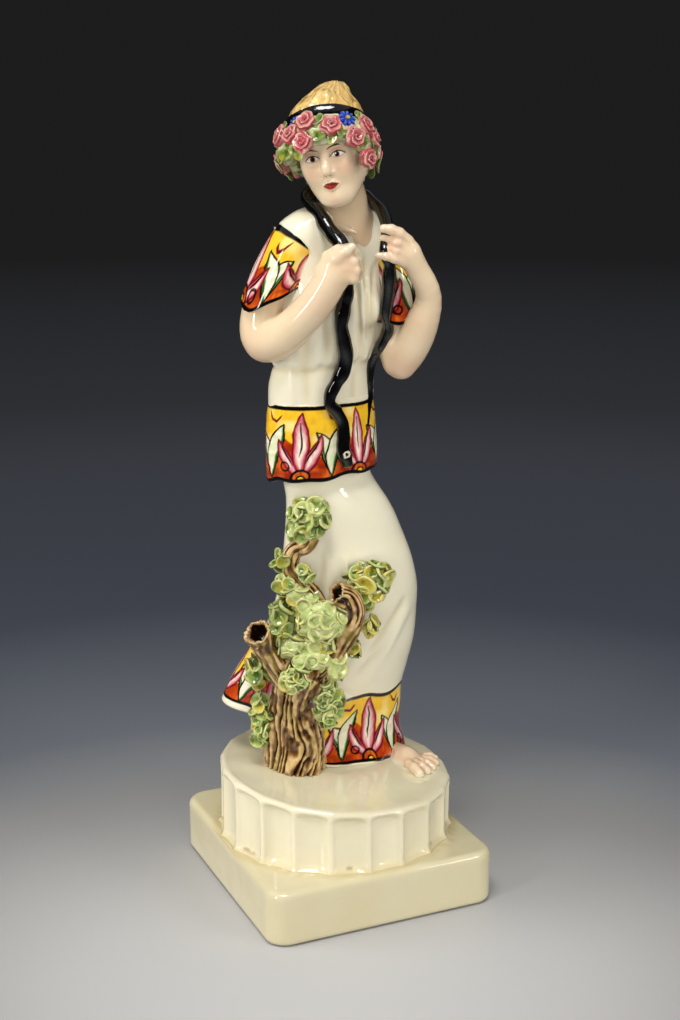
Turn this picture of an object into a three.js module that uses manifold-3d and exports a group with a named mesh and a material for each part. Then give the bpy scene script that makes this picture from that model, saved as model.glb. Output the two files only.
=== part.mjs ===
// A glazed earthenware figurine: a draped figure with a flower wreath and a long
// snake over the shoulders, stepping past a small tree, on a fluted drum and a
// square plinth. Millimetres, +Z up, origin under the middle of the plinth, front -Y.
// Every piece was cast or hand built on its own and luted to its neighbours with slip,
// so each is a closed body with a hairline of 0.3 mm to the next one.
import * as THREE from "three";
import { mergeVertices } from "three/addons/utils/BufferGeometryUtils.js";
import Module from "manifold-3d";

// ---------- driving dimensions (mm, degrees) ----------
const PLINTH_X = 115; // width of the plinth
const PLINTH_Y = 121.6; // depth of the plinth
const PLINTH_H = 26.8;
const PLINTH_CORNER = 10; // radius of the upright corners
const PLINTH_EDGE = 3; // softened upper and lower edges
const BASE_WALL = 6; // wall of the plinth and drum castings
const VENT_R = 7; // firing vent between the castings
const DRUM_R = 55.9;
const DRUM_TOP = 57.3; // height of the drum's top over the centre
const DRUM_SLOPE = -0.085; // the top falls away to the figure's left hand side
const FLUTES = 20;
const FLUTE_DEPTH = 2.2;
const FLUTE_TOP = 51; // crown of each flute's arch
const TURN = -23.98; // the figure's axes against the plinth's
const GAP = 0.34; // hairline between neighbours
const BODY_WALL = 4.6; // wall of the skirt and tunic castings
const SNAKE_R = 2.45; // half of the snake's body
const ROSE_R = 4.8;
const TORSO_TURN = 24; // the shoulders' line against the figure's X
const FIGURE_H = 380; // overall height

const wasm = await Module();
wasm.setup();
const RAD = Math.PI / 180;
const V = (x, y, z) => new THREE.Vector3(x, y, z);
const drumTop = (x) => DRUM_TOP + DRUM_SLOPE * x;

// ---------- solids ----------
function solid(geometry) {
  const g = geometry.index ? geometry.clone() : geometry.clone();
  g.deleteAttribute("normal");
  g.deleteAttribute("uv");
  const m = mergeVertices(g, 1e-4);
  const tri = new Uint32Array(m.index.array);
  const p = m.attributes.position;
  let vol = 0;
  const a = V(0, 0, 0), b = V(0, 0, 0), c = V(0, 0, 0);
  for (let i = 0; i < tri.length; i += 3) {
    a.fromBufferAttribute(p, tri[i]);
    b.fromBufferAttribute(p, tri[i + 1]);
    c.fromBufferAttribute(p, tri[i + 2]);
    vol += a.dot(b.cross(c));
  }
  if (vol < 0)
    for (let i = 0; i < tri.length; i += 3)
      [tri[i + 1], tri[i + 2]] = [tri[i + 2], tri[i + 1]];
  return new wasm.Manifold(
    new wasm.Mesh({ numProp: 3, vertProperties: new Float32Array(p.array), triVerts: tri }),
  );
}

function geometryOf(s) {
  const m = s.getMesh();
  const v = new Float32Array(m.numVert * 3);
  for (let i = 0; i < m.numVert; i++)
    for (let k = 0; k < 3; k++) v[3 * i + k] = m.vertProperties[m.numProp * i + k];
  const g = new THREE.BufferGeometry();
  g.setAttribute("position", new THREE.BufferAttribute(v, 3));
  g.setIndex(new THREE.BufferAttribute(new Uint32Array(m.triVerts), 1));
  g.computeVertexNormals();
  return g;
}

// A cylinder whose rows of points are laid on the given rings, flat at both ends.
function skin(rings) {
  const n = rings[0].length;
  const g = new THREE.CylinderGeometry(1, 1, 1, n, rings.length - 1, false);
  const p = g.attributes.position;
  let k = 0;
  const put = (v) => p.setXYZ(k++, v.x, v.y, v.z);
  for (const r of rings) for (let j = 0; j <= n; j++) put(r[j % n]);
  for (const r of [rings[0], rings[rings.length - 1]]) {
    const mid = V(0, 0, 0);
    r.forEach((q) => mid.addScaledVector(q, 1 / n));
    for (let j = 0; j < n; j++) put(mid);
    for (let j = 0; j <= n; j++) put(r[j % n]);
  }
  return solid(g);
}

// Level rings: rows are [z, cx, cy, a, b], a along the turned X axis, b along its normal.
function stack(rows, n, turn, grow, shape = () => 1) {
  const c = Math.cos(turn * RAD), s = Math.sin(turn * RAD);
  return skin(
    rows.map(([z, cx, cy, a, b], i) => {
      const ring = [];
      for (let j = 0; j < n; j++) {
        const t = (2 * Math.PI * j) / n, f = shape(t, z, i);
        const u = (a * f + grow) * Math.cos(t), v = (b * f + grow) * Math.sin(t);
        let zz = z;
        if (i === 0) zz -= grow;
        if (i === rows.length - 1) zz += grow;
        ring.push(V(cx + u * c - v * s, cy + u * s + v * c, zz));
      }
      return ring;
    }),
  );
}

// A limb through points [x, y, z, r] or [x, y, z, ra, rb], with domed ends.
function limb(points, n, steps, grow, { wide = [0, 0, 1], shape = () => 1, blunt = 0.8 } = {}) {
  const curve = new THREE.CatmullRomCurve3(points.map((q) => V(q[0], q[1], q[2])), false, "centripetal");
  const m = points.length - 1;
  const radius = (t) => {
    const f = Math.min(t * m, m - 1e-9), i = Math.floor(f), w = f - i;
    const e = w * w * (3 - 2 * w);
    const A = points[i], B = points[i + 1];
    const ra = A[3] + (B[3] - A[3]) * e;
    const rb = (A[4] ?? A[3]) + ((B[4] ?? B[3]) - (A[4] ?? A[3])) * e;
    return [ra, rb];
  };
  const rings = [];
  const ringAt = (centre, tangent, ra, rb, t, scale) => {
    const w = V(...wide);
    const u = w.clone().addScaledVector(tangent, -w.dot(tangent)).normalize();
    const v = tangent.clone().cross(u).normalize();
    const ring = [];
    for (let j = 0; j < n; j++) {
      const a = (2 * Math.PI * j) / n, f = shape(a, t);
      ring.push(
        centre.clone()
          .addScaledVector(u, (ra * f + grow) * scale * Math.cos(a))
          .addScaledVector(v, (rb * f + grow) * scale * Math.sin(a)),
      );
    }
    rings.push(ring);
  };
  const caps = [25, 58];
  const [r0, s0] = radius(0), [r1, s1] = radius(1);
  const p0 = curve.getPoint(0), t0 = curve.getTangent(0), p1 = curve.getPoint(1), t1 = curve.getTangent(1);
  for (const a of caps)
    ringAt(p0.clone().addScaledVector(t0, -(Math.min(r0, s0) * blunt + grow) * Math.cos(a * RAD)), t0, r0, s0, 0, Math.sin(a * RAD));
  for (let i = 0; i <= steps; i++) {
    const t = i / steps, [ra, rb] = radius(t);
    ringAt(curve.getPoint(t), curve.getTangent(t), ra, rb, t, 1);
  }
  for (const a of [...caps].reverse())
    ringAt(p1.clone().addScaledVector(t1, (Math.min(r1, s1) * blunt + grow) * Math.cos(a * RAD)), t1, r1, s1, 1, Math.sin(a * RAD));
  return skin(rings);
}

// A rounded lump about c with half sizes r, its axis along a direction, and a wavy skin.
function lump(c, r, n, m, grow, { axis = [0, 0, 1], side = [1, 0, 0], wave = 0, seed = 0, lobes = 5 } = {}) {
  const w = V(...axis).normalize();
  const u = V(...side).addScaledVector(w, -V(...side).dot(w)).normalize();
  const v = w.clone().cross(u);
  const rings = [];
  for (let i = 0; i < m; i++) {
    const a = Math.PI * (0.08 + (0.84 * i) / (m - 1));
    const ring = [];
    for (let j = 0; j < n; j++) {
      const t = (2 * Math.PI * j) / n;
      const f = 1 + wave * Math.sin(lobes * t + seed + 1.7 * i) * Math.sin(a) + 0.5 * wave * Math.sin(3.1 * a + 2 * t + seed);
      ring.push(
        V(...c)
          .addScaledVector(w, -(r[2] * f + grow) * Math.cos(a))
          .addScaledVector(u, (r[0] * f + grow) * Math.sin(a) * Math.cos(t))
          .addScaledVector(v, (r[1] * f + grow) * Math.sin(a) * Math.sin(t)),
      );
    }
    rings.push(ring);
  }
  return skin(rings);
}

// Everything under the drum's sloping top, used to trim what stands on it.
function belowTop(grow) {
  const g = new THREE.BoxGeometry(300, 300, 60);
  g.translate(0, 0, -30);
  const p = g.attributes.position;
  for (let i = 0; i < p.count; i++) p.setZ(i, p.getZ(i) + DRUM_TOP + grow + DRUM_SLOPE * p.getX(i));
  return solid(g);
}

// ---------- plinth ----------
function roundedSquare(w, d, r) {
  const s = new THREE.Shape();
  const x = w / 2, y = d / 2;
  s.moveTo(-x + r, -y);
  s.lineTo(x - r, -y);
  s.absarc(x - r, -y + r, r, -Math.PI / 2, 0, false);
  s.lineTo(x, y - r);
  s.absarc(x - r, y - r, r, 0, Math.PI / 2, false);
  s.lineTo(-x + r, y);
  s.absarc(-x + r, y - r, r, Math.PI / 2, Math.PI, false);
  s.lineTo(-x, -y + r);
  s.absarc(-x + r, -y + r, r, Math.PI, 1.5 * Math.PI, false);
  return s;
}
function plinth() {
  const e = PLINTH_EDGE;
  const outer = new THREE.ExtrudeGeometry(roundedSquare(PLINTH_X - 2 * e, PLINTH_Y - 2 * e, PLINTH_CORNER - e), {
    depth: PLINTH_H - 2 * e, bevelEnabled: true, bevelThickness: e, bevelSize: e, bevelSegments: 3, curveSegments: 5,
  });
  outer.translate(0, 0, e);
  const pocket = new THREE.ExtrudeGeometry(
    roundedSquare(PLINTH_X - 2 * BASE_WALL - 2, PLINTH_Y - 2 * BASE_WALL - 2, PLINTH_CORNER - 4),
    { depth: PLINTH_H - BASE_WALL + 1, bevelEnabled: false, curveSegments: 4 },
  );
  pocket.translate(0, 0, -1);
  const vent = new THREE.CylinderGeometry(VENT_R, VENT_R, 20, 16).rotateX(Math.PI / 2).translate(0, 0, PLINTH_H);
  return solid(outer).subtract(solid(pocket)).subtract(solid(vent));
}

// ---------- fluted drum ----------
function drum() {
  const K = 3, N = FLUTES * K, rings = [];
  const z0 = PLINTH_H + 0.3;
  const hollow = [0, 1, 1];
  const arch = [0.5, 1, 1]; // the flute's head is an arch
  const levels = [0, 0.86, 1];
  const ringOf = (f) => {
    const ring = [];
    for (let j = 0; j < N; j++) {
      const t = (2 * Math.PI * (j + 0.5)) / N;
      const [r, z] = f(j % K, t);
      ring.push(V(r * Math.cos(t), r * Math.sin(t), z));
    }
    return ring;
  };
  const lift = (r, t) => DRUM_SLOPE * r * Math.cos(t);
  rings.push(ringOf((k) => [DRUM_R - FLUTE_DEPTH * hollow[k] + 0.4, z0]));
  for (const l of levels)
    rings.push(
      ringOf((k, t) => {
        const head = FLUTE_TOP - 6 * (1 - arch[k]) + lift(DRUM_R, t);
        const z = z0 + 1.5 + (head - z0 - 1.5) * l;
        const depth = l === 1 ? 0 : 1;
        return [DRUM_R - FLUTE_DEPTH * hollow[k] * depth, z];
      }),
    );
  rings.push(ringOf((k, t) => [DRUM_R - 0.5, DRUM_TOP - 2 + lift(DRUM_R, t)]));
  rings.push(ringOf((k, t) => [DRUM_R - 2.6, DRUM_TOP + lift(DRUM_R - 2.6, t)]));
  rings.push(ringOf((k, t) => [DRUM_R * 0.4, DRUM_TOP + lift(DRUM_R * 0.4, t)]));
  const body = skin(rings);
  const R = DRUM_R - FLUTE_DEPTH - BASE_WALL;
  const inner = new THREE.CylinderGeometry(R - 3, R, DRUM_TOP - 4 - BASE_WALL - z0 + 2, 24).rotateX(Math.PI / 2);
  inner.translate(0, 0, z0 - 2 + (DRUM_TOP - 4 - BASE_WALL - z0 + 2) / 2);
  const vent = new THREE.CylinderGeometry(VENT_R, VENT_R, 40, 16).rotateX(Math.PI / 2).translate(6, 26, DRUM_TOP);
  return body.subtract(solid(inner)).subtract(solid(vent));
}

// ---------- the figure's own pieces, in the figure's axes ----------
// Skirt: rows of height, centre and half sizes; the hem lifts and swings out behind.
const SKIRT = [
  [206, -4, 10, 19, 15.5],
  [198.5, -3.1, 10.5, 20.7, 16.5],
  [187, 2.2, 11.5, 25, 18.5],
  [172, 4.9, 12.5, 28.6, 20.5],
  [157, 5.9, 13.5, 31.2, 22],
  [141, 6, 15, 34, 23.5],
  [126, 2, 17, 37.5, 24.5],
  [110, -2.4, 19, 39.8, 25.5],
  [95, -8, 21, 42, 26.5],
  [80, -11.5, 23, 43.6, 27],
];
function skirt(grow, inset = 0) {
  const n = 26, rows = SKIRT.map((r) => [...r]);
  const rings = rows.map(([z, cx, cy, a, b], i) => {
    const ring = [];
    for (let j = 0; j < n; j++) {
      const t = (2 * Math.PI * j) / n;
      const u = (a - inset + grow) * Math.cos(t), v = (b - inset + grow) * Math.sin(t);
      ring.push(V(cx + u, cy + v, z + (i === 0 ? grow - inset : 0)));
    }
    return ring;
  });
  // the last two rings follow the hem: it stands on the drum in front and is lifted on the windward side
  for (const k of [0.5, 1]) {
    const ring = [];
    for (let j = 0; j < n; j++) {
      const t = (2 * Math.PI * j) / n;
      const lift = Math.pow(Math.max(0, -Math.cos(t - 0.25)), 2) * 17;
      const hemZ = 56 + lift - grow - (inset ? 3 : 0);
      const cx = -11.5 + 5.7 * k, cy = 23 + 1.5 * k;
      const a = 43.6 - 4.4 * k - (inset ? inset : 0) + grow, b = 27 - 2.2 * k - inset + grow;
      const side = Math.max(0, -Math.cos(t)) ** 2 * 8 * k;
      ring.push(V(cx + (a + side) * Math.cos(t), cy + b * Math.sin(t), 80 + (hemZ - 80) * k));
    }
    rings.push(ring);
  }
  return skin(rings);
}

const TUNIC = [
  [197.5, -6.2, 9, 25.8, 18.8],
  [203, -6, 9, 26.6, 19.2],
  [212, -5.6, 9, 26.4, 19],
  [222, -6.2, 9, 25.9, 18.8],
  [235, -6.4, 8.5, 25, 18],
  [246, -5.9, 8, 24.8, 17.5],
  [253.5, -4.6, 8, 24.2, 16.8],
  [259, -3, 8, 26, 18],
  [270, -0.5, 7.5, 26.6, 18.6],
  [284, 1.2, 7, 26.2, 18.6],
  [297, 2, 7, 25.2, 17],
  [307, 2.6, 7.5, 23.4, 14],
  [314, 3.4, 8, 19, 11],
  [319, 4.2, 8, 13.5, 8.5],
];
const tunicRaw = (grow) => stack(TUNIC, 22, TORSO_TURN, grow);
function tunicCavity() {
  const rows = TUNIC.slice(0, 11).map(([z, x, y, a, b], i) => [i === 0 ? z - 3 : z, x, y, Math.min(a - BODY_WALL - 2.2, 18.4), b - BODY_WALL]);
  return stack(rows, 14, TORSO_TURN, 0);
}
// Depth of the tunic's front at a point seen from in front.
function tunicFront(x, z) {
  let k = 0;
  while (k < TUNIC.length - 2 && TUNIC[k + 1][0] < z) k++;
  const A = TUNIC[k], B = TUNIC[k + 1], w = Math.min(1, Math.max(0, (z - A[0]) / (B[0] - A[0])));
  const [, cx, cy, a, b] = A.map((q, i) => q + (B[i] - q) * w);
  const c = Math.cos(TORSO_TURN * RAD), s = Math.sin(TORSO_TURN * RAD), X = x - cx;
  const qa = (s * s) / (a * a) + (c * c) / (b * b), qb = 2 * X * c * s * (1 / (a * a) - 1 / (b * b));
  const qc = (X * X * c * c) / (a * a) + (X * X * s * s) / (b * b) - 1;
  const d = Math.max(0, qb * qb - 4 * qa * qc);
  return cy + (-qb - Math.sqrt(d)) / (2 * qa);
}

const rightSleeve = (g) => limb([[-12, 2, 313, 8.5], [-18.5, 0.5, 307, 11.3], [-25, -1.5, 294, 11.8], [-28.6, -2.5, 283.5, 12]], 12, 4, g, { blunt: 0.35 });
const leftSleeve = (g) => limb([[17, 13, 311, 8], [22, 14, 304, 10], [26.5, 13, 291, 10.5], [28, 11.5, 277, 10.8]], 12, 4, g, { blunt: 0.35 });

const RIGHT_ARM = [[-27.5, -2, 286, 8.4], [-30.8, -3.2, 274, 9.2], [-32.4, -5.2, 265.5, 9.6], [-28, -9, 263.6, 9.2], [-19, -14.5, 272, 7.8], [-9.5, -19, 284, 6.9], [-3.4, -20.6, 293, 6.6], [1.4, -20.6, 299.6, 7.4], [4.8, -19.4, 304.5, 6.8]];
const LEFT_ARM = [[27, 11.5, 282, 7.6], [28.2, 8, 268, 8], [30.4, 3.4, 258.2, 8], [33.6, -1, 262, 7.6], [37.6, -5, 274, 6.4], [40.6, -9, 287.5, 5.4], [39.6, -12, 297.5, 5.2], [34.4, -14.2, 306.4, 5.6], [29, -15.2, 311.6, 5], [22.5, -16, 312.6, 3.4]];
const rightArm = (g) => limb(RIGHT_ARM, 10, 13, g, { wide: [0.2, -1, 0.1] });
const leftArm = (g) => limb(LEFT_ARM, 10, 14, g, { wide: [0.2, -1, 0.1] });

const neckChest = (g) =>
  stack(
    [[296, 9, 3.5, 9, 9], [303, 8.8, 4.5, 12, 10.4], [309, 8.2, 6, 12.6, 10.4], [314, 7.6, 7.4, 11, 9.4], [319, 7, 7.4, 8.8, 8.4], [326, 5.6, 6.2, 8.2, 8.2], [334, 3.6, 5, 8.3, 8.4], [339, 2, 5, 8.4, 8.6]],
    12, TORSO_TURN, g,
  );

// Head: an egg whose lower half narrows to the chin, facing a little to its own right.
const HEAD = [-2.6, 1.5, 350.5];
const HEAD_TURN = -16;
function head(g) {
  const f = V(Math.sin(HEAD_TURN * RAD), -Math.cos(HEAD_TURN * RAD), 0);
  const up = V(0.09, 0, 1).normalize();
  const x = f.clone().cross(up).multiplyScalar(-1).normalize();
  const rows = [[-21.5, 3.5, 3.5, 8.6], [-20.4, 6.4, 5.8, 8.2], [-17, 9.4, 9, 6.8], [-12, 12, 12.8, 4], [-6, 14, 16, 1.4], [0, 15.1, 18, 0], [6, 15.4, 18.6, -0.6], [12, 14.6, 17.8, -0.8], [17, 12, 14.8, -0.8], [20.5, 7.6, 9.6, -0.6], [22, 3, 4, -0.6]];
  const rings = rows.map(([h, a, b, fwd], i) => {
    const ring = [];
    const hh = h + (i === 0 ? -g : i === rows.length - 1 ? g : 0);
    for (let j = 0; j < 14; j++) {
      const t = (2 * Math.PI * j) / 14;
      ring.push(
        V(...HEAD).addScaledVector(up, hh).addScaledVector(f, fwd + (b + g) * Math.cos(t)).addScaledVector(x, (a + g) * Math.sin(t)),
      );
    }
    return ring;
  });
  // a plain ridge for the nose
  const nose = rings.map(() => 0);
  nose[3] = 1.2;
  nose[4] = 2.6;
  nose[5] = 1.2;
  rings.forEach((r, i) => r[0].addScaledVector(f, nose[i]));
  return skin(rings);
}

// The hair, the ribbon and the wreath share one axis, leaning back from the brow.
const RING_UP = V(0.16, 0.4, 0.9).normalize();
const RING_X = V(1, 0, 0).addScaledVector(RING_UP, -RING_UP.x).normalize();
const RING_Y = RING_UP.clone().cross(RING_X);
const RIBBON_C = V(-3.4, 4.2, 363);
const ringPoint = (r, t, h) =>
  RIBBON_C.clone().addScaledVector(RING_UP, h).addScaledVector(RING_X, r * Math.cos(t)).addScaledVector(RING_Y, r * Math.sin(t));
function turned(rows, n, shape = () => 1, grow = 0) {
  return skin(
    rows.map(([r, h], i) => {
      const ring = [];
      const hh = h + (i === 0 ? -grow : i === rows.length - 1 ? grow : 0);
      for (let j = 0; j < n; j++) {
        const t = (2 * Math.PI * j) / n;
        ring.push(ringPoint(r * shape(t, i) + grow, t, hh));
      }
      return ring;
    }),
  );
}
const hairCrown = (g) =>
  turned([[15.6, -6], [16.5, -2], [16.3, 2], [15.2, 6], [12.8, 10.2], [9.2, 13.4], [5.6, 15], [4.2, 16], [3.8, 17.2], [2.2, 18]], 18, () => 1, g);
function ringBody(rows, n, grow) {
  // a closed band: outside rings, then the same band's inside taken away
  const out = turned(rows.map(([r, , h]) => [r, h]), n, () => 1, grow);
  if (grow) return out;
  const inner = turned(rows.map(([, r, h], i) => [r, h + (i === 0 ? -1 : i === rows.length - 1 ? 1 : 0)]), n);
  return out.subtract(inner);
}
const RIBBON = [[17.3, 16, -2.6], [17.9, 16, -1], [17.8, 16, 1.2], [17, 15.6, 2.6]];
const WREATH = [[17.5, 14, -18.5], [20.6, 14, -16], [21.6, 14, -11], [20.8, 14, -5.4], [18.2, 14, -3.1]];
const hairRibbon = (g) => ringBody(RIBBON, 20, g);
const wreathRing = (g) => ringBody(WREATH, 20, g);
// Flowers on the wreath: angle round it, height along its axis, half size, outward reach.
const flower = (deg, h, r, reach = 20.6) => (g) => {
  const t = deg * RAD;
  const c = ringPoint(reach, t, h);
  const out = ringPoint(reach + 1, t, h).sub(c);
  return lump([c.x, c.y, c.z], [r, r, r * 0.62], 8, 4, g, { axis: [out.x, out.y, out.z], side: [RING_UP.x, RING_UP.y, RING_UP.z] });
};
const ROSES = [
  [-113, -6.9, 4.3], [-84, -9.4, 4.9], [-56, -12.8, 4.9], [-33, -8.8, 4.8], [-14, -13.6, 4.6], [-22, -21, 4.4], [-117, -14.4, 4.4], [-139, -9.5, 4.5],
  [-163, -8, 4.8], [18, -9, 4.8], [52, -11, 4.8], [88, -9, 4.8], [124, -11, 4.8], [159, -13.5, 4.6],
];
const DAISIES = [[-63, -4.9, 4.1, 19.8], [-133, -3.6, 3.2, 19.4], [70, -3.8, 3.8, 19.8]];

// Snake: three lengths, parted where the hands hold it.
function onTunic(pts) {
  return pts.map(([x, z, off = 2.1, r = SNAKE_R]) => {
    const q = V(x, tunicFront(x, z) - off, z);
    for (let k = 0; k < 8; k++) {
      // the outward normal from two nearby points of the front
      const x0 = q.x - (q.nx ?? 0) * off;
      const y0 = tunicFront(x0, z), y1 = tunicFront(x0 + 0.4, z);
      const len = Math.hypot(y1 - y0, 0.4);
      q.nx = (y1 - y0) / len;
      q.y = y0 - (0.4 / len) * off;
    }
    return [x, q.y, z, r];
  });
}
const SNAKE_COLLAR = [[4.6, -12.5, 310.5, 2.4], [0.5, -8.5, 316.2, 2.6], [-4.2, -2.6, 323.4, 2.7], [-7.8, 5, 329, 2.6], [-6.4, 13.4, 332.4, 2.5], [0.5, 18, 333.2, 2.5], [8.5, 18.6, 332, 2.5], [15, 13.6, 329.4, 2.5], [19, 5.4, 324.6, 2.5], [21.2, -2.6, 319.4, 2.5]];
const SNAKE_HEAD = onTunic([[6.2, 293, 2.4], [5.6, 284], [4, 272], [5.8, 262], [4.8, 254], [0, 246], [-2, 239], [1.2, 233], [4.2, 227], [3.8, 221], [5, 215.5], [8, 209.5, 2.3, 3.1], [9.6, 204.4, 2.2, 1.9]]);
const SNAKE_TAIL = [[25.6, -12, 300.5, 2.4]].concat(onTunic([[24, 291, 4.4], [23.6, 281, 2.4], [25.2, 273.5, 2.2], [22.6, 265], [18.4, 258], [15.8, 252], [16.2, 244], [15.4, 236, 1.9, 2], [14.8, 229, 1.6, 1.2]]));
const snakeCollar = (g) => limb(SNAKE_COLLAR, 6, 15, g);
const snakeHead = (g) => limb(SNAKE_HEAD, 6, 24, g, { wide: [1, 0, 0] });
const snakeTail = (g) => limb(SNAKE_TAIL, 6, 18, g, { wide: [1, 0, 0] });

// Foot: leaves the hem on the figure's left and points forward.
const leftFoot = (g) => limb([[30.5, 32, 60.5, 6.4, 6.8], [36.2, 22.5, 58.8, 5.8, 5.2], [41.6, 12.4, 56.2, 4.2, 6.4], [45.6, 4.6, 54.6, 3, 7]], 10, 6, g, { wide: [0, 0, 1] });

// Tree: a ridged trunk, a sawn stub and two crooked branches.
const bark = (ridges, depth, seed) => (a, t) => 1 + depth * Math.sin(ridges * a + seed + 2.2 * t);
const trunk = (g) =>
  limb([[-19.6, -3.4, 54, 18.2], [-19.4, -4, 63, 15.6], [-18.4, -6, 77, 13.4], [-17, -8.5, 92, 12.4], [-15.6, -11, 106, 11.6], [-14.8, -12.2, 113, 9]], 16, 6, g, { wide: [1, 0, 0], shape: bark(8, 0.05, 0.5), blunt: 0.4 });
function stub(g) {
  const body = limb([[-21, -12.4, 108, 6.4], [-27.5, -15.6, 118, 6], [-33, -18.6, 127, 5.6], [-36.2, -20.4, 132.8, 5.9]], 10, 3, g, { wide: [0, -1, 0.3], shape: bark(5, 0.05, 1), blunt: 0.1 });
  if (g) return body;
  const bore = limb([[-33.6, -19, 128.6, 2.6], [-37.6, -21.2, 135.6, 3.9]], 8, 1, 0, { wide: [0, -1, 0.3], blunt: 0.2 });
  return body.subtract(bore);
}
const upperBranch = (g) =>
  limb([[-14.6, -14, 112, 6.2], [-10.4, -15.6, 126, 5], [-5.6, -15.4, 139.6, 4.2], [-8.6, -14.6, 149.6, 3.6], [-16.4, -16, 157, 3.2], [-20.8, -17, 165.4, 3.1], [-18.2, -16.6, 171.4, 3], [-12.4, -16, 172.8, 3], [-8.4, -15.4, 176.4, 2.8]], 8, 15, g, { wide: [0, -1, 0], shape: bark(4, 0.05, 2) });
const rightBranch = (g) =>
  limb([[-9, -14.5, 110.5, 5.6], [-2, -15.6, 117, 5.2], [5.4, -16, 123.4, 4.8], [10.6, -15.8, 133, 4.7], [12, -15.4, 143, 5.2], [8.4, -14.8, 150.2, 5.2], [2.4, -14, 152.4, 4.4], [-0.6, -13, 152.6, 3.8]], 8, 11, g, { wide: [0, -1, 0], shape: bark(4, 0.05, 0) });

// Foliage: each is a group of small pressed leaves laid on as one lump.
const LEAVES = {
  foliage_top: [[-12.4, -14.5, 187.6], [13.2, 8.6, 12.6]],
  foliage_upper_left: [[-25.2, -18.5, 168.6], [3.2, 4, 4.8]],
  foliage_upper_right: [[-12.6, -16, 163.8], [3.8, 4, 5.6]],
  foliage_bend: [[-22, -20, 155.4], [6.4, 5, 6.6]],
  foliage_left: [[-25.6, -19.5, 140.2], [8, 6.4, 11.6]],
  foliage_middle: [[-6.2, -21.6, 138.6], [12.8, 6.8, 12.6]],
  foliage_fork: [[-8.6, -24.4, 120.6], [7.4, 4, 4.4]],
  foliage_right: [[15.6, -15.6, 157.4], [13.2, 8.4, 13.8]],
  foliage_drop: [[16, -14.4, 135], [4.8, 4.6, 6.2]],
  foliage_sprig: [[9.6, -14.4, 121.2], [3.6, 3.6, 4.4]],
  foliage_front: [[-22, -24.6, 112.6], [9.2, 5, 6.4]],
  foliage_low_left: [[-36.4, -13, 107.2], [6.8, 6, 11]],
  foliage_foot: [[-34.6, -12, 79.6], [5.6, 5.4, 12.4]],
  foliage_low_right: [[-4.6, -19, 96.6], [7.2, 5, 14.6]],
};
const foliage = (name, k) => (g) => {
  const [c, r] = LEAVES[name];
  return lump(c, r, 9, 5, g, { wave: 0.07, seed: k * 1.9, lobes: 4 });
};

// ---------- assembly ----------
const EARTH = 0xe3d9b8, ROBE = 0xe4dfc8, SKIN = 0xe8d0b0, BLACK = 0x0b0a0a, HAIR = 0xe0b860, ROSE = 0xc97a72, BLUE = 0x2a45a0, GREEN = 0x8fae66, BARK = 0x6a4a30;
const list = [
  ["fluted_drum", () => null, EARTH],
  ["skirt", skirt, ROBE],
  ["tunic", tunicRaw, ROBE],
  ["left_foot", leftFoot, SKIN],
  ["neck_chest", neckChest, SKIN],
  ["right_sleeve", rightSleeve, ROBE],
  ["left_sleeve", leftSleeve, ROBE],
  ["right_arm", rightArm, SKIN],
  ["left_arm", leftArm, SKIN],
  ["head", head, SKIN],
  ["hair_crown", hairCrown, HAIR],
  ["hair_ribbon", hairRibbon, BLACK],
  ["wreath_ring", wreathRing, GREEN],
  ["snake_collar", snakeCollar, BLACK],
  ["snake_head_length", snakeHead, BLACK],
  ["snake_tail_length", snakeTail, BLACK],
  ["tree_trunk", trunk, BARK],
  ["branch_stub", stub, BARK],
  ["upper_branch", upperBranch, BARK],
  ["right_branch", rightBranch, BARK],
  ...ROSES.map((r, i) => ["rose_" + String(i + 1).padStart(2, "0"), flower(...r), ROSE]),
  ...DAISIES.map((r, i) => ["daisy_" + (i + 1), flower(...r), BLUE]),
  ...Object.keys(LEAVES).map((n, k) => [n, foliage(n, k), GREEN]),
];

const boxesMeet = (a, b) => a.min.every((v, i) => v < b.max[i]) && a.max.every((v, i) => v > b.min[i]);
// A piece gives way to the ones before it, except the few whose order is turned round here.
const figure = new THREE.Group();
figure.rotation.z = TURN * RAD;
const ground = belowTop(0.3);
const placed = [];
const yieldsTo = { tunic: ["skirt"], head: ["neck_chest"] };
for (const [name, make, colour] of list) {
  let s;
  if (name === "fluted_drum") s = drum();
  else {
    s = make(0);
    if (name === "skirt") {
      s = s.subtract(skirt(0, BODY_WALL));
      const vent = new THREE.CylinderGeometry(5, 5, 30, 12).rotateX(Math.PI / 2).translate(-4, 10, 204);
      s = s.subtract(solid(vent));
    }
    if (name === "tunic") s = s.subtract(tunicCavity());
    for (const p of placed) {
      if (!boxesMeet(s.boundingBox(), p.box)) continue;
      s = s.subtract(p.grown);
    }
    if (["skirt", "left_foot", "tree_trunk", "foliage_foot"].includes(name)) s = s.subtract(ground);
    s = s.decompose().sort((a, b) => b.volume() - a.volume())[0];
    const grown = make(GAP);
    placed.push({ name, grown, box: grown.boundingBox() });
  }
  const mesh = new THREE.Mesh(
    geometryOf(s),
    new THREE.MeshStandardMaterial({ color: colour, roughness: 0.18, metalness: 0 }),
  );
  mesh.name = name;
  figure.add(mesh);
}

const part = new THREE.Group();
const base = new THREE.Mesh(
  geometryOf(plinth()),
  new THREE.MeshStandardMaterial({ color: EARTH, roughness: 0.2, metalness: 0 }),
);
base.name = "plinth";
part.add(base, figure);
export default part;
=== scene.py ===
# Looks of the glazed figurine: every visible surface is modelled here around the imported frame.
# Shapes are worked out in the figure's own axes (mm, x to the viewer's right, y away, z up) and
# turned onto the plinth's axes as they are written, in metres.
import math
import bpy
import numpy as np
import openvdb as vdb
from mathutils import Matrix, Vector


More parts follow.
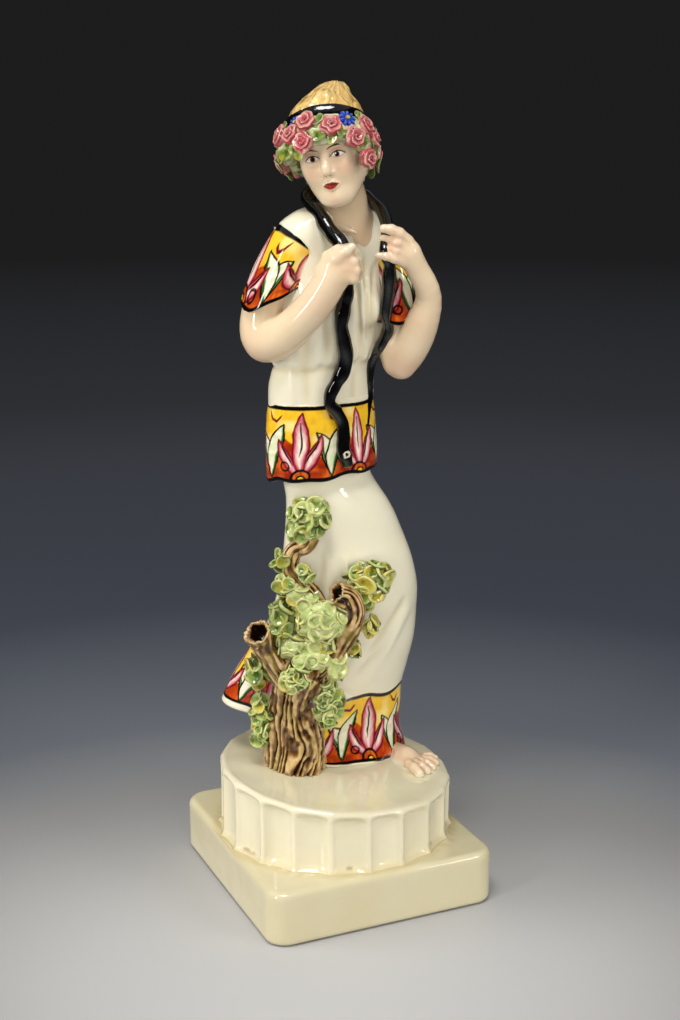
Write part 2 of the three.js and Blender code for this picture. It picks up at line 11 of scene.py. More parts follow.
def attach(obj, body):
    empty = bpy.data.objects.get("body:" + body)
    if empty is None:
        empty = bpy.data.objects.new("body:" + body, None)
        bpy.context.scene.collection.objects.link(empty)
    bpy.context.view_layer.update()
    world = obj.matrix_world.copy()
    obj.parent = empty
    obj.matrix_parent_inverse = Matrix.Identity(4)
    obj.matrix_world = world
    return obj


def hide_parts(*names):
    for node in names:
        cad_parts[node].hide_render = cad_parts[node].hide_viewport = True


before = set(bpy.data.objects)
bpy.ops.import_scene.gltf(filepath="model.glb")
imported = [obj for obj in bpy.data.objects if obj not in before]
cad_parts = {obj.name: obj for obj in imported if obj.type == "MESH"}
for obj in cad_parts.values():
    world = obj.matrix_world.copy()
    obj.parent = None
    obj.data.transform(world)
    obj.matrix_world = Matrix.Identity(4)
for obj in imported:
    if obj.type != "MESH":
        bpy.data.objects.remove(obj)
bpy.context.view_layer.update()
TURN = math.radians(-23.98)
CT, ST = math.cos(TURN), math.sin(TURN)
pi = math.pi

# ------------------------------------------------------------------ camera
EL = math.radians(15.717)
CAM = (2.538, -769.127, 402.110)


def fig_to_obj(p):
    p = np.asarray(p, float)
    return np.stack([p[..., 0] * CT - p[..., 1] * ST, p[..., 0] * ST + p[..., 1] * CT, p[..., 2]], -1) * 0.001


cam_data = bpy.data.cameras.new("view_camera")
cam_data.sensor_width = 36.0
cam_data.lens = 60.3
bpy.context.scene.view_settings.view_transform = "Standard"
cam = bpy.data.objects.new("view_camera", cam_data)
bpy.context.scene.collection.objects.link(cam)
bpy.context.scene.camera = cam
_r = fig_to_obj((1, 0, 0)) * 1000
_u = fig_to_obj((0, math.sin(EL), math.cos(EL))) * 1000
_b = fig_to_obj((0, -math.cos(EL), math.sin(EL))) * 1000
_l = fig_to_obj(CAM)
cam.matrix_world = Matrix(((_r[0], _u[0], _b[0], _l[0]), (_r[1], _u[1], _b[1], _l[1]), (_r[2], _u[2], _b[2], _l[2]), (0, 0, 0, 1)))

# ------------------------------------------------------------------ small maths
def sstep(a, b, x):
    t = np.clip((x - a) / (b - a), 0, 1)
    return t * t * (3 - 2 * t)


def lerp(a, b, t):
    return a + (b - a) * t


def table(rows):
    """Smooth curve through rows [key, v1, v2, ...]: returns a function of the key."""
    r = np.asarray(rows, float)
    r = r[np.argsort(r[:, 0])]
    k, v = r[:, 0], r[:, 1:]
    h = np.diff(k)
    s = np.diff(v, axis=0) / h[:, None]
    m = np.empty_like(v)
    m[1:-1] = (s[:-1] * h[1:, None] + s[1:] * h[:-1, None]) / (h[:-1] + h[1:])[:, None]
    m[0], m[-1] = s[0], s[-1]

    def f(x):
        x = np.asarray(x, float)
        i = np.clip(np.searchsorted(k, x) - 1, 0, len(k) - 2)
        t = np.clip((x - k[i]) / h[i], 0, 1)[..., None]
        a, b, ma, mb = v[i], v[i + 1], m[i] * h[i][..., None], m[i + 1] * h[i][..., None]
        return (2 * t**3 - 3 * t**2 + 1) * a + (t**3 - 2 * t**2 + t) * ma + (-2 * t**3 + 3 * t**2) * b + (t**3 - t**2) * mb

    return f


def _hash(i, j, k, seed):
    n = (i * 374761393 + j * 668265263 + k * 2147483647 + seed * 974634777) & 0xFFFFFFFF
    n = ((n ^ (n >> 13)) * 1274126177) & 0xFFFFFFFF
    return ((n ^ (n >> 16)) & 0xFFFF) / 65535.0


def noise3(p, size, seed=0):
    """Smooth value noise, -1..1, at points p (N, 3), with cells of the given size."""
    q = np.asarray(p, float) / size
    i = np.floor(q).astype(np.int64)
    f = q - i
    f = f * f * f * (f * (f * 6 - 15) + 10)
    out = 0
    for dx in (0, 1):
        for dy in (0, 1):
            for dz in (0, 1):
                w = (f[..., 0] if dx else 1 - f[..., 0]) * (f[..., 1] if dy else 1 - f[..., 1]) * (f[..., 2] if dz else 1 - f[..., 2])
                out = out + w * _hash(i[..., 0] + dx, i[..., 1] + dy, i[..., 2] + dz, seed)
    return out * 2 - 1


def fbm(p, size, seed=0, octaves=3):
    return sum(noise3(p, size / 2**o, seed + o) / 2**o for o in range(octaves)) / (2 - 2 ** (1 - octaves))


def norm(v):
    v = np.asarray(v, float)
    return v / np.maximum(np.linalg.norm(v, axis=-1, keepdims=True), 1e-12)


def srgb(h):
    c = np.array([int(h[i : i + 2], 16) for i in (0, 2, 4)]) / 255.0
    return np.where(c <= 0.04045, c / 12.92, ((c + 0.055) / 1.055) ** 2.4)


C = {k: srgb(v) for k, v in dict(
    ivory="dfd6b9", ivory_deep="d2bd85", robe="e9dfc6", robe_cool="dfdabf", skin="ddc7a5", skin_red="dba084", yellow="efbf2c", yellow_deep="e09a1e",
    red="b83d0e", red_deep="8a2408", orange="dc6a1e", pink="d97f8c", paper="f1e3cc", burgundy="6e0f1c", black="070606", green="8fbf6c", green_pale="c3d59b",
    green_dark="1f4a17", rose="b8686a", rose_pale="deae9e", rose_dark="7e1a2a", blue="1b35a8", blue_pale="5f7fd8", leaf="8ba64a", leaf_pale="dbdfa2",
    leaf_dark="45601c", leaf_yellow="d8bd3c", bark="6b4423", bark_dark="26130a", bark_pale="d6b896", hair="d2ab62", hair_dark="8c5418", white="f4ecd8").items()}


def mix(a, b, t):
    t = np.asarray(t)[..., None]
    return a * (1 - t) + b * t


# ------------------------------------------------------------------ meshes
made = {}


def make(name, verts, quads=None, tris=None, paint=None, mat=None, replaces=(), attrs=None, figure=True, smooth=True):
    verts = np.asarray(verts, float)
    co = fig_to_obj(verts) if figure else verts * 0.001
    quads = np.zeros((0, 4), int) if quads is None else np.asarray(quads)
    tris = np.zeros((0, 3), int) if tris is None else np.asarray(tris)
    me = bpy.data.meshes.new(name)
    me.vertices.add(len(co))
    me.vertices.foreach_set("co", co.astype(np.float32).ravel())
    loops = np.concatenate([quads.ravel(), tris.ravel()]).astype(np.int32)
    me.loops.add(len(loops))
    me.loops.foreach_set("vertex_index", loops)
    n = len(quads) + len(tris)
    me.polygons.add(n)
    starts = np.concatenate([np.arange(len(quads)) * 4, len(quads) * 4 + np.arange(len(tris)) * 3]).astype(np.int32)
    me.polygons.foreach_set("loop_start", starts)
    me.update(calc_edges=True)
    me.validate()
    me.polygons.foreach_set("use_smooth", np.full(len(me.polygons), smooth))
    if paint is not None:
        a = me.color_attributes.new("paint", "FLOAT_COLOR", "POINT")
        rgba = np.ones((len(co), 4), np.float32)
        rgba[:, :3] = np.clip(paint, 0, 1)
        a.data.foreach_set("color", rgba.ravel())
    for k, v in (attrs or {}).items():
        a = me.attributes.new(k, "FLOAT", "POINT")
        a.data.foreach_set("value", np.asarray(v, np.float32))
    ob = bpy.data.objects.new(name, me)
    bpy.context.scene.collection.objects.link(ob)
    if mat:
        me.materials.append(mat)
    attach(ob, "root")
    if replaces:
        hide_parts(*replaces)
    made[name] = ob
    return ob


def wrap(P, cap0=True, cap1=True, base=0):
    """Faces of rows x cols points closed round the columns. Returns verts, quads, tris."""
    R, N = P.shape[:2]
    idx = np.arange(R * N).reshape(R, N) + base
    a, b = idx[:-1], idx[1:]
    q = np.stack([a, np.roll(a, -1, 1), np.roll(b, -1, 1), b], -1).reshape(-1, 4)
    V = [P.reshape(-1, 3)]
    T = []
    n = R * N + base
    for on, row, flip in ((cap0, 0, True), (cap1, -1, False)):
        if not on:
            continue
        V.append(P[row].mean(0)[None])
        r = idx[row]
        t = np.stack([r, np.roll(r, -1), np.full(N, n)], -1)
        T.append(t[:, ::-1] if flip else t)
        n += 1
    return np.concatenate(V), q, (np.concatenate(T) if T else np.zeros((0, 3), int))


def facing_out(V, q, t):
    """Turns all faces if the closed surface is inside out."""
    vol = 0
    for f in ((q[:, [0, 1, 2]], q[:, [0, 2, 3]], t) if len(q) else (t,)):
        if len(f):
            a, b, c = V[f[:, 0]], V[f[:, 1]], V[f[:, 2]]
            vol += np.einsum("ij,ij->i", a, np.cross(b, c)).sum()
    if vol < 0:
        q, t = q[:, ::-1], t[:, ::-1]
    return q, t


def join(parts):
    """Joins (verts, quads, tris, paint) parts into one."""
    V, Q, T, Pn, n = [], [], [], [], 0
    for v, q, t, p in parts:
        V.append(v); Q.append(np.asarray(q).reshape(-1, 4) + n); T.append(np.asarray(t).reshape(-1, 3) + n); Pn.append(p)
        n += len(v)
    return np.concatenate(V), np.concatenate(Q), np.concatenate(T), np.concatenate(Pn)


def catmull(pts, n):
    """n points evenly along a smooth curve through pts (columns may hold more than a place)."""
    pts = np.asarray(pts, float)
    d = np.linalg.norm(np.diff(pts[:, :3], axis=0), axis=1) ** 0.5
    k = np.concatenate([[0], np.cumsum(d)])
    f = table(np.column_stack([k, pts]))
    fine = f(np.linspace(0, k[-1], 40 * len(pts)))
    L = np.concatenate([[0], np.cumsum(np.linalg.norm(np.diff(fine[:, :3], axis=0), axis=1))])
    s = np.linspace(0, L[-1], n)
    return np.stack([np.interp(s, L, fine[:, i]) for i in range(fine.shape[1])], 1)


def frames(path, hint):
    t = norm(np.gradient(path, axis=0))
    u = np.asarray(hint, float) - (t @ np.asarray(hint, float))[:, None] * t
    u = norm(u)
    return t, u, np.cross(t, u)


def tube(path, ra, rb, n, hint=(0, 0, 1), cap=5, blunt=1.0):
    """Rows of rings along path with domed ends; returns points (rows, n, 3), angle and place along."""
    t, u, v = frames(path, hint)
    a = np.linspace(0, 2 * pi, n, endpoint=False)
    rows, along = [], []
    L = np.concatenate([[0], np.cumsum(np.linalg.norm(np.diff(path, axis=0), axis=1))])
    ks = np.linspace(12, 78, cap) if cap else []
    for k in ks:
        k = math.radians(k)
        c = path[0] - t[0] * min(ra[0], rb[0]) * blunt * math.cos(k)
        rows.append(c + math.sin(k) * (ra[0] * np.cos(a)[:, None] * u[0] + rb[0] * np.sin(a)[:, None] * v[0])); along.append(0)
    for i in range(len(path)):
        rows.append(path[i] + ra[i] * np.cos(a)[:, None] * u[i] + rb[i] * np.sin(a)[:, None] * v[i]); along.append(L[i])
    for k in list(ks)[::-1]:
        k = math.radians(k)
        c = path[-1] + t[-1] * min(ra[-1], rb[-1]) * blunt * math.cos(k)
        rows.append(c + math.sin(k) * (ra[-1] * np.cos(a)[:, None] * u[-1] + rb[-1] * np.sin(a)[:, None] * v[-1])); along.append(L[-1])
    return np.array(rows), a, np.array(along)


def grid_normals(P):
    du = np.roll(P, -1, 1) - np.roll(P, 1, 1)
    dv = np.gradient(P, axis=0)
    return norm(np.cross(du, dv))


# signed distances on a grid
class Field:
    def __init__(self, lo, hi, h):
        self.lo, self.h = np.array(lo, float), h
        self.n = (np.ceil((np.array(hi) - self.lo) / h) + 1).astype(int)
        ax = [(self.lo[i] + h * np.arange(self.n[i])).astype(np.float32) for i in range(3)]
        self.X, self.Y, self.Z = ax[0][:, None, None], ax[1][None, :, None], ax[2][None, None, :]

    def at(self, c=(0, 0, 0), R=None):
        x, y, z = self.X - c[0], self.Y - c[1], self.Z - c[2]
        if R is None:
            return x, y, z
        R = np.asarray(R, np.float32)
        return tuple(R[i, 0] * x + R[i, 1] * y + R[i, 2] * z for i in range(3))

    def ball(self, c, r):
        x, y, z = self.at(c)
        return np.sqrt(x * x + y * y + z * z) - r

    def egg(self, c, r, R=None):
        x, y, z = self.at(c, R)
        k0 = np.sqrt((x / r[0]) ** 2 + (y / r[1]) ** 2 + (z / r[2]) ** 2)
        k1 = np.sqrt((x / r[0] ** 2) ** 2 + (y / r[1] ** 2) ** 2 + (z / r[2] ** 2) ** 2)
        return k0 * (k0 - 1) / np.maximum(k1, 1e-6)

    def rod(self, a, b, ra, rb, R=None):
        a, b = np.asarray(a, float), np.asarray(b, float)
        d = b - a
        x, y, z = self.at(a)
        t = np.clip((x * d[0] + y * d[1] + z * d[2]) / max(d @ d, 1e-9), 0, 1)
        x, y, z = x - t * d[0], y - t * d[1], z - t * d[2]
        return np.sqrt(x * x + y * y + z * z) - (ra + (rb - ra) * t)

    def mesh(self, d):
        g = vdb.FloatGrid(float(d.max()) + 1)
        g.copyFromArray(np.ascontiguousarray(d.astype(np.float32)))
        p, q = g.convertToQuads(0.0)
        q = np.asarray(q, int)
        V = np.asarray(p, float) * self.h + self.lo
        q, _ = facing_out(V, q, np.zeros((0, 3), int))
        return V, q


def smin(a, b, k):
    h = np.maximum(k - np.abs(a - b), 0) / k
    return np.minimum(a, b) - h * h * k * 0.25


def smax(a, b, k):
    return -smin(-a, -b, k)


def chain(F, pts, k=1.0):
    d = None
    for a, b in zip(pts[:-1], pts[1:]):
        e = F.rod(a[:3], b[:3], a[3], b[3])
        d = e if d is None else smin(d, e, k)
    return d


# ------------------------------------------------------------------ materials
def glaze(name, rough=0.09, coat=0.5, spec=0.5, bump=0.03, bump_size=0.6, tint=0.06, tint_size=14, colour=None, dark=None, sss=0.0, cav=None, speck=0.0):
    """Glossy lead-type glaze over painted colour: slow colour drift, orange peel and small pits."""
    m = bpy.data.materials.new(name)
    m.use_nodes = True
    nt = m.node_tree
    N, L = nt.nodes, nt.links
    for n in list(N):
        N.remove(n)
    out = N.new("ShaderNodeOutputMaterial")
    b = N.new("ShaderNodeBsdfPrincipled")
    L.new(b.outputs[0], out.inputs[0])
    b.inputs["Roughness"].default_value = rough
    b.inputs["IOR"].default_value = 1.52
    b.inputs["Specular IOR Level"].default_value = spec
    b.inputs["Coat Weight"].default_value = coat
    b.inputs["Coat Roughness"].default_value = 0.03
    b.inputs["Coat IOR"].default_value = 1.5
    if sss:
        b.inputs["Subsurface Weight"].default_value = sss
        b.inputs["Subsurface Radius"].default_value = (1.0, 0.7, 0.4)
        b.inputs["Subsurface Scale"].default_value = 0.002
    tc = N.new("ShaderNodeTexCoord")
    if colour is None:
        src = N.new("ShaderNodeAttribute")
        src.attribute_name = "paint"
        col = src.outputs["Color"]
    else:
        src = N.new("ShaderNodeRGB")
        src.outputs[0].default_value = (*colour, 1)
        col = src.outputs[0]
    n1 = N.new("ShaderNodeTexNoise")
    n1.inputs["Scale"].default_value = 1000.0 / tint_size
    n1.inputs["Detail"].default_value = 4
    L.new(tc.outputs["Object"], n1.inputs["Vector"])
    ramp = N.new("ShaderNodeMapRange")
    ramp.inputs["From Min"].default_value = 0.3
    ramp.inputs["From Max"].default_value = 0.7
    ramp.inputs["To Min"].default_value = 0.0
    ramp.inputs["To Max"].default_value = 1.0
    L.new(n1.outputs["Fac"], ramp.inputs["Value"])
    mx = N.new("ShaderNodeMix")
    mx.data_type = "RGBA"
    mx.blend_type = "MULTIPLY"
    mx.inputs["Factor"].default_value = 1.0
    L.new(col, mx.inputs["A"])
    tr = N.new("ShaderNodeMix")
    tr.data_type = "RGBA"
    tr.inputs["A"].default_value = (1 - tint, 1 - tint * 1.15, 1 - tint * 1.9, 1)
    tr.inputs["B"].default_value = (1, 1, 1, 1)
    L.new(ramp.outputs[0], tr.inputs["Factor"])
    L.new(tr.outputs["Result"], mx.inputs["B"])
    last = mx.outputs["Result"]
    if speck:
        v = N.new("ShaderNodeTexNoise")
        v.inputs["Scale"].default_value = 1000.0 / 1.1
        v.inputs["Detail"].default_value = 1
        L.new(tc.outputs["Object"], v.inputs["Vector"])
        r2 = N.new("ShaderNodeMapRange")
        r2.inputs["From Min"].default_value = 0.74
        r2.inputs["From Max"].default_value = 0.8
        r2.inputs["To Min"].default_value = 0.0
        r2.inputs["To Max"].default_value = speck
        L.new(v.outputs["Fac"], r2.inputs["Value"])
        m3 = N.new("ShaderNodeMix")
        m3.data_type = "RGBA"
        m3.inputs["B"].default_value = (0.16, 0.09, 0.04, 1)
        L.new(r2.outputs[0], m3.inputs["Factor"])
        L.new(last, m3.inputs["A"])
        last = m3.outputs["Result"]
    L.new(last, b.inputs["Base Color"])
    n2 = N.new("ShaderNodeTexNoise")
    n2.inputs["Scale"].default_value = 1000.0 / bump_size
    n2.inputs["Detail"].default_value = 2
    L.new(tc.outputs["Object"], n2.inputs["Vector"])
    n3 = N.new("ShaderNodeTexNoise")
    n3.inputs["Scale"].default_value = 1000.0 / (bump_size * 9)
    n3.inputs["Detail"].default_value = 1
    L.new(tc.outputs["Object"], n3.inputs["Vector"])
    ad = N.new("ShaderNodeMath")
    ad.operation = "MULTIPLY_ADD"
    ad.inputs[1].default_value = 5.0
    L.new(n3.outputs["Fac"], ad.inputs[0])
    L.new(n2.outputs["Fac"], ad.inputs[2])
    bp = N.new("ShaderNodeBump")
    bp.inputs["Strength"].default_value = 1.0
    bp.inputs["Distance"].default_value = bump * 0.001
    L.new(ad.outputs[0], bp.inputs["Height"])
    L.new(bp.outputs[0], b.inputs["Normal"])
    L.new(bp.outputs[0], b.inputs["Coat Normal"])
    return m


M = {
    "base": glaze("base_glaze_mat", rough=0.12, bump=0.035, bump_size=1.4, tint=0.07, tint_size=26, speck=0.0),
    "robe": glaze("robe_glaze_mat", rough=0.07, bump=0.02, bump_size=1.1, tint=0.05, tint_size=18),
    "skin": glaze("skin_glaze_mat", rough=0.08, bump=0.02, bump_size=1.1, tint=0.05, tint_size=10),
    "black": glaze("black_glaze_mat", rough=0.05, bump=0.09, bump_size=1.4, tint=0.3, tint_size=5),
    "hair": glaze("hair_glaze_mat", rough=0.1, bump=0.03, bump_size=0.8, tint=0.16, tint_size=4),
    "rose": glaze("rose_glaze_mat", rough=0.09, bump=0.03, bump_size=0.7, tint=0.12, tint_size=3),
    "leaf": glaze("leaf_glaze_mat", rough=0.08, bump=0.04, bump_size=0.7, tint=0.2, tint_size=3.5),
    "bark": glaze("bark_glaze_mat", rough=0.12, bump=0.05, bump_size=0.8, tint=0.3, tint_size=3),
}


# ------------------------------------------------------------------ plinth
def plinth():
    W, D, H, RC = 115.0, 121.6, 26.8, 10.0

    def ring(d, z, nc=16, ne=40):
        hx, hy, r = W / 2 - d, D / 2 - d, max(RC - d * 0.8, 0.8)
        pts = []
        for k, (sx, sy) in enumerate(((1, -1), (1, 1), (-1, 1), (-1, -1))):
            cx, cy = sx * (hx - r), sy * (hy - r)
            a0 = -pi / 2 + k * pi / 2
            for a in np.linspace(a0, a0 + pi / 2, nc):
                pts.append((cx + r * math.cos(a), cy + r * math.sin(a)))
            a = a0 + pi / 2
            nk = ((1, 1), (-1, 1), (-1, -1), (1, -1))[k]
            nx, ny = nk[0] * (hx - r) + r * math.cos(a), nk[1] * (hy - r) + r * math.sin(a)
            x, y = pts[-1]
            for t in np.linspace(0, 1, ne + 2)[1:-1]:
                pts.append((x + (nx - x) * t, y + (ny - y) * t))
        p = np.array(pts)
        return np.column_stack([p, np.full(len(p), z)])

    prof = [(40, 20.8), (8, 20.8), (7.1, 20.2), (7, 18), (7, 2), (6.2, 0.5), (5.4, 0.0), (3.4, 0.0), (2.7, 0.5), (1.3, 0.75), (0.45, 1.2), (0.1, 2.1)]
    prof += [(0, z) for z in np.linspace(3, 22.6, 12)]
    for a in np.linspace(8, 90, 12):
        a = math.radians(a)
        prof.append((3.4 * (1 - math.cos(a)), H - 3.4 + 3.4 * math.sin(a)))
    prof += [(d, H) for d in (4.6, 6.5, 9, 12, 16, 22, 30, 40, 50)]
    P = np.array([ring(d, z) for d, z in prof])
    wob = np.stack([fbm(P + o, 34, s) for o, s in ((0, 1), (50, 2), (99, 3))], -1)
    P = P + wob * np.array([0.35, 0.35, 0.28]) * sstep(0.2, 4, P[..., 2])[..., None]
    V, q, t = wrap(P)
    q, t = facing_out(V, q, t)
    n = fbm(V, 30, 7)
    col = mix(C["ivory"], C["ivory_deep"], 0.10 + 0.10 * n)
    r = np.hypot(*(V[:, :2] * np.array([[1.0, 1.0]])).T)
    # glaze pools a little darker round the drum's foot and thins to a stained line at the bottom
    top = V[:, 2] > 25
    pool = np.exp(-((r - 57.5) / 2.2) ** 2) * top
    col = mix(col, C["ivory_deep"] * 0.92, 0.55 * pool)
    stain = np.exp(-((V[:, 2] - 0.5) / 0.55) ** 2) * (V[:, 2] < 3) * (0.6 + 0.5 * fbm(V, 6, 3))
    col = mix(col, np.array([0.10, 0.075, 0.05]), np.clip(stain, 0, 0.85))
    under = (V[:, 2] < 0.2) | ((np.abs(V[:, 0]) < 51) & (np.abs(V[:, 1]) < 54.2) & (V[:, 2] < 21))
    col[under] = srgb("cfbd96")
    # painted shade and light: the plinth's ivory is painted darker and yellower than the drum's, and its top face a
    # little lighter than its sides
    col = col * np.array([0.81, 0.795, 0.73]) * (1 + 0.08 * sstep(24.8, 26.2, V[:, 2]))[:, None]
    make("plinth_casting", V, q, t, col, M["base"], ("plinth",), figure=False)


# ------------------------------------------------------------------ drum
DR, DTOP, DSL = 55.9, 57.3, -0.085


def drum():
    F, K = 20, 30
    N = F * K
    th = 2 * pi * (np.arange(N) + 0.5) / N - math.radians(1.9)
    u = (np.arange(N) % K + 0.5) / K * 2 - 1  # across one flute, -1..1
    fid = np.arange(N) // K
    th = th + math.radians(0.8) * np.interp(np.arange(N) / K, np.arange(F + 1), np.concatenate([noise3(np.array([[k * 3.3, 2.0, 0] for k in range(F)]), 1.0, 8), [noise3(np.array([[0, 2.0, 0]]), 1.0, 8)[0]]]))
    c, s = np.cos(th), np.sin(th)
    z0 = 26.7
    jit = noise3(np.stack([fid * 7.3, fid * 0.0, fid * 0.0], -1), 1.0, 5)
    ROLL = 2.4
    head = DTOP - 1.7 + DSL * DR * c - 0.6 + 0.35 * jit - 3.6 * (1 - np.sqrt(np.clip(1 - (np.abs(u) * 0.99) ** 4.6, 0, 1)))
    rows = []
    # inside of the casting first, then the foot and up the flutes
    for z, r in ((45, 20), (45.5, 44), (44, 45.5), (28.5, 47.2), (27.6, 47.6)):
        rows.append(np.stack([r * c, r * s, np.full(N, z)], -1))
    zs = np.concatenate([np.linspace(z0, 31, 11), np.linspace(31.8, 46, 14), np.linspace(46.5, 57.4, 44)])
    for z in zs:
        zz = z + DSL * DR * c * sstep(31, 50, z)
        depth = 0.5 + 2.5 * (1 - np.clip(np.abs(u) / 0.93, 0, 1) ** 2.6) - 0.35 * sstep(0.80, 0.93, np.abs(u)) + 0.35 * sstep(0.90, 1.0, np.abs(u))
        on = 1 - 0.84 * sstep(-2.7, 1.3, zz - head)
        flare = 1.6 * np.clip(1 - (z - z0) / 4.0, 0, 1) ** 2.2
        r = DR + 0.25 - depth * on * (1 - 0.42 * flare / 1.6) + flare
        # round the upper edge
        top = DTOP + DSL * DR * c
        e = np.clip((zz - (top - ROLL)) / ROLL, 0, 1)
        r = r - ROLL * (1 - np.sqrt(np.clip(1 - e**2, 0, 1)))
        zz = np.minimum(zz, top)
        rows.append(np.stack([r * c, r * s, zz], -1))
    for r in (52.4, 50.5, 47, 43, 37, 31, 24, 16, 8):
        x = r * c
        rows.append(np.stack([x, r * s, DTOP + DSL * x - 0.35 * np.exp(-((r - 45) / 4) ** 2)], -1))
    P = np.array(rows)
    w = np.stack([fbm(P + o, 26, k) for o, k in ((0, 11), (40, 12), (80, 13))], -1)
    P = P + w * np.array([0.35, 0.35, 0.4]) * sstep(28, 34, P[..., 2])[..., None]
    V, q, t = wrap(P)
    q, t = facing_out(V, q, t)
    n = fbm(V, 30, 9)
    col = mix(C["ivory"], C["ivory_deep"], 0.09 + 0.10 * n)
    foot = np.exp(-((V[:, 2] - 27) / 1.9) ** 2) * (V[:, 2] < 33)
    crawl = sstep(0.25, 0.6, fbm(V, 7, 21))
    col = mix(col, C["ivory_deep"] * 0.9, 0.5 * foot)
    col = mix(col, srgb("8a6f48"), 0.6 * crawl * np.exp(-((V[:, 2] - 28.6) / 0.8) ** 2))
    # a little whiter on the arrises; a film of greenish glaze on the top
    lipped = np.concatenate([np.broadcast_to(sstep(0.86, 0.98, np.abs(u)), (len(rows), N)).ravel(), [0, 0]])
    side = (V[:, 2] > 31) & (V[:, 2] < 55)
    col = mix(col, C["white"], 0.12 * lipped * side)
    topf = sstep(50, 44, np.hypot(V[:, 0], V[:, 1])) * (V[:, 2] > 50)
    col = mix(col, srgb("d9d3b0"), np.clip(0.25 + 0.5 * fbm(V, 24, 33), 0, 0.6) * topf)
    make("drum_casting", V, q, t, col, M["base"], ("fluted_drum",))


plinth()
drum()

# ------------------------------------------------------------------ painted borders
def seg_dist(s, t, a, b):
    d = np.array(b, float) - np.array(a, float)
    k = np.clip(((s - a[0]) * d[0] + (t - a[1]) * d[1]) / max(d @ d, 1e-9), 0, 1)
    return np.hypot(s - a[0] - k * d[0], t - a[1] - k * d[1]), k


def stroke(col, s, t, pts, w, colour, soft=0.22, taper=(1, 1)):
    """A brush stroke through pts, w wide; taper gives its width at the two ends."""
    pts = np.asarray(pts, float)
    n = len(pts) - 1
    best = np.full(s.shape, -1e9)
    for i in range(n):
        d, k = seg_dist(s, t, pts[i], pts[i + 1])
        f = (i + k) / n
        half = 0.5 * w * np.interp(f, [0, 0.25, 0.75, 1], [taper[0], 1, 1, taper[1]])
        best = np.maximum(best, half - d)
    a = sstep(-soft, soft, best)
    return mix(col, colour, a)


def curve(pts, n=14):
    return catmull(np.column_stack([np.asarray(pts, float), np.zeros(len(pts))]), n)[:, :2]


def lens(s, t, a, b, bulge_l, bulge_r):
    """Positive inside a leaf from a to b with its two sides bulging by the given amounts."""
    a, b = np.array(a, float), np.array(b, float)
    d = b - a
    L = np.hypot(*d)
    e = d / L
    x = (s - a[0]) * e[0] + (t - a[1]) * e[1]
    y = -(s - a[0]) * e[1] + (t - a[1]) * e[0]
    k = np.clip(x / L, 0, 1)
    sh = np.sin(pi * k) ** 0.8
    up, lo = bulge_l * sh, -bulge_r * sh
    ins = np.minimum(up - y, y - lo)
    ins = np.where((x < 0) | (x > L), -np.hypot(np.maximum(-x, x - L).clip(0), y), ins)
    return ins, k, y


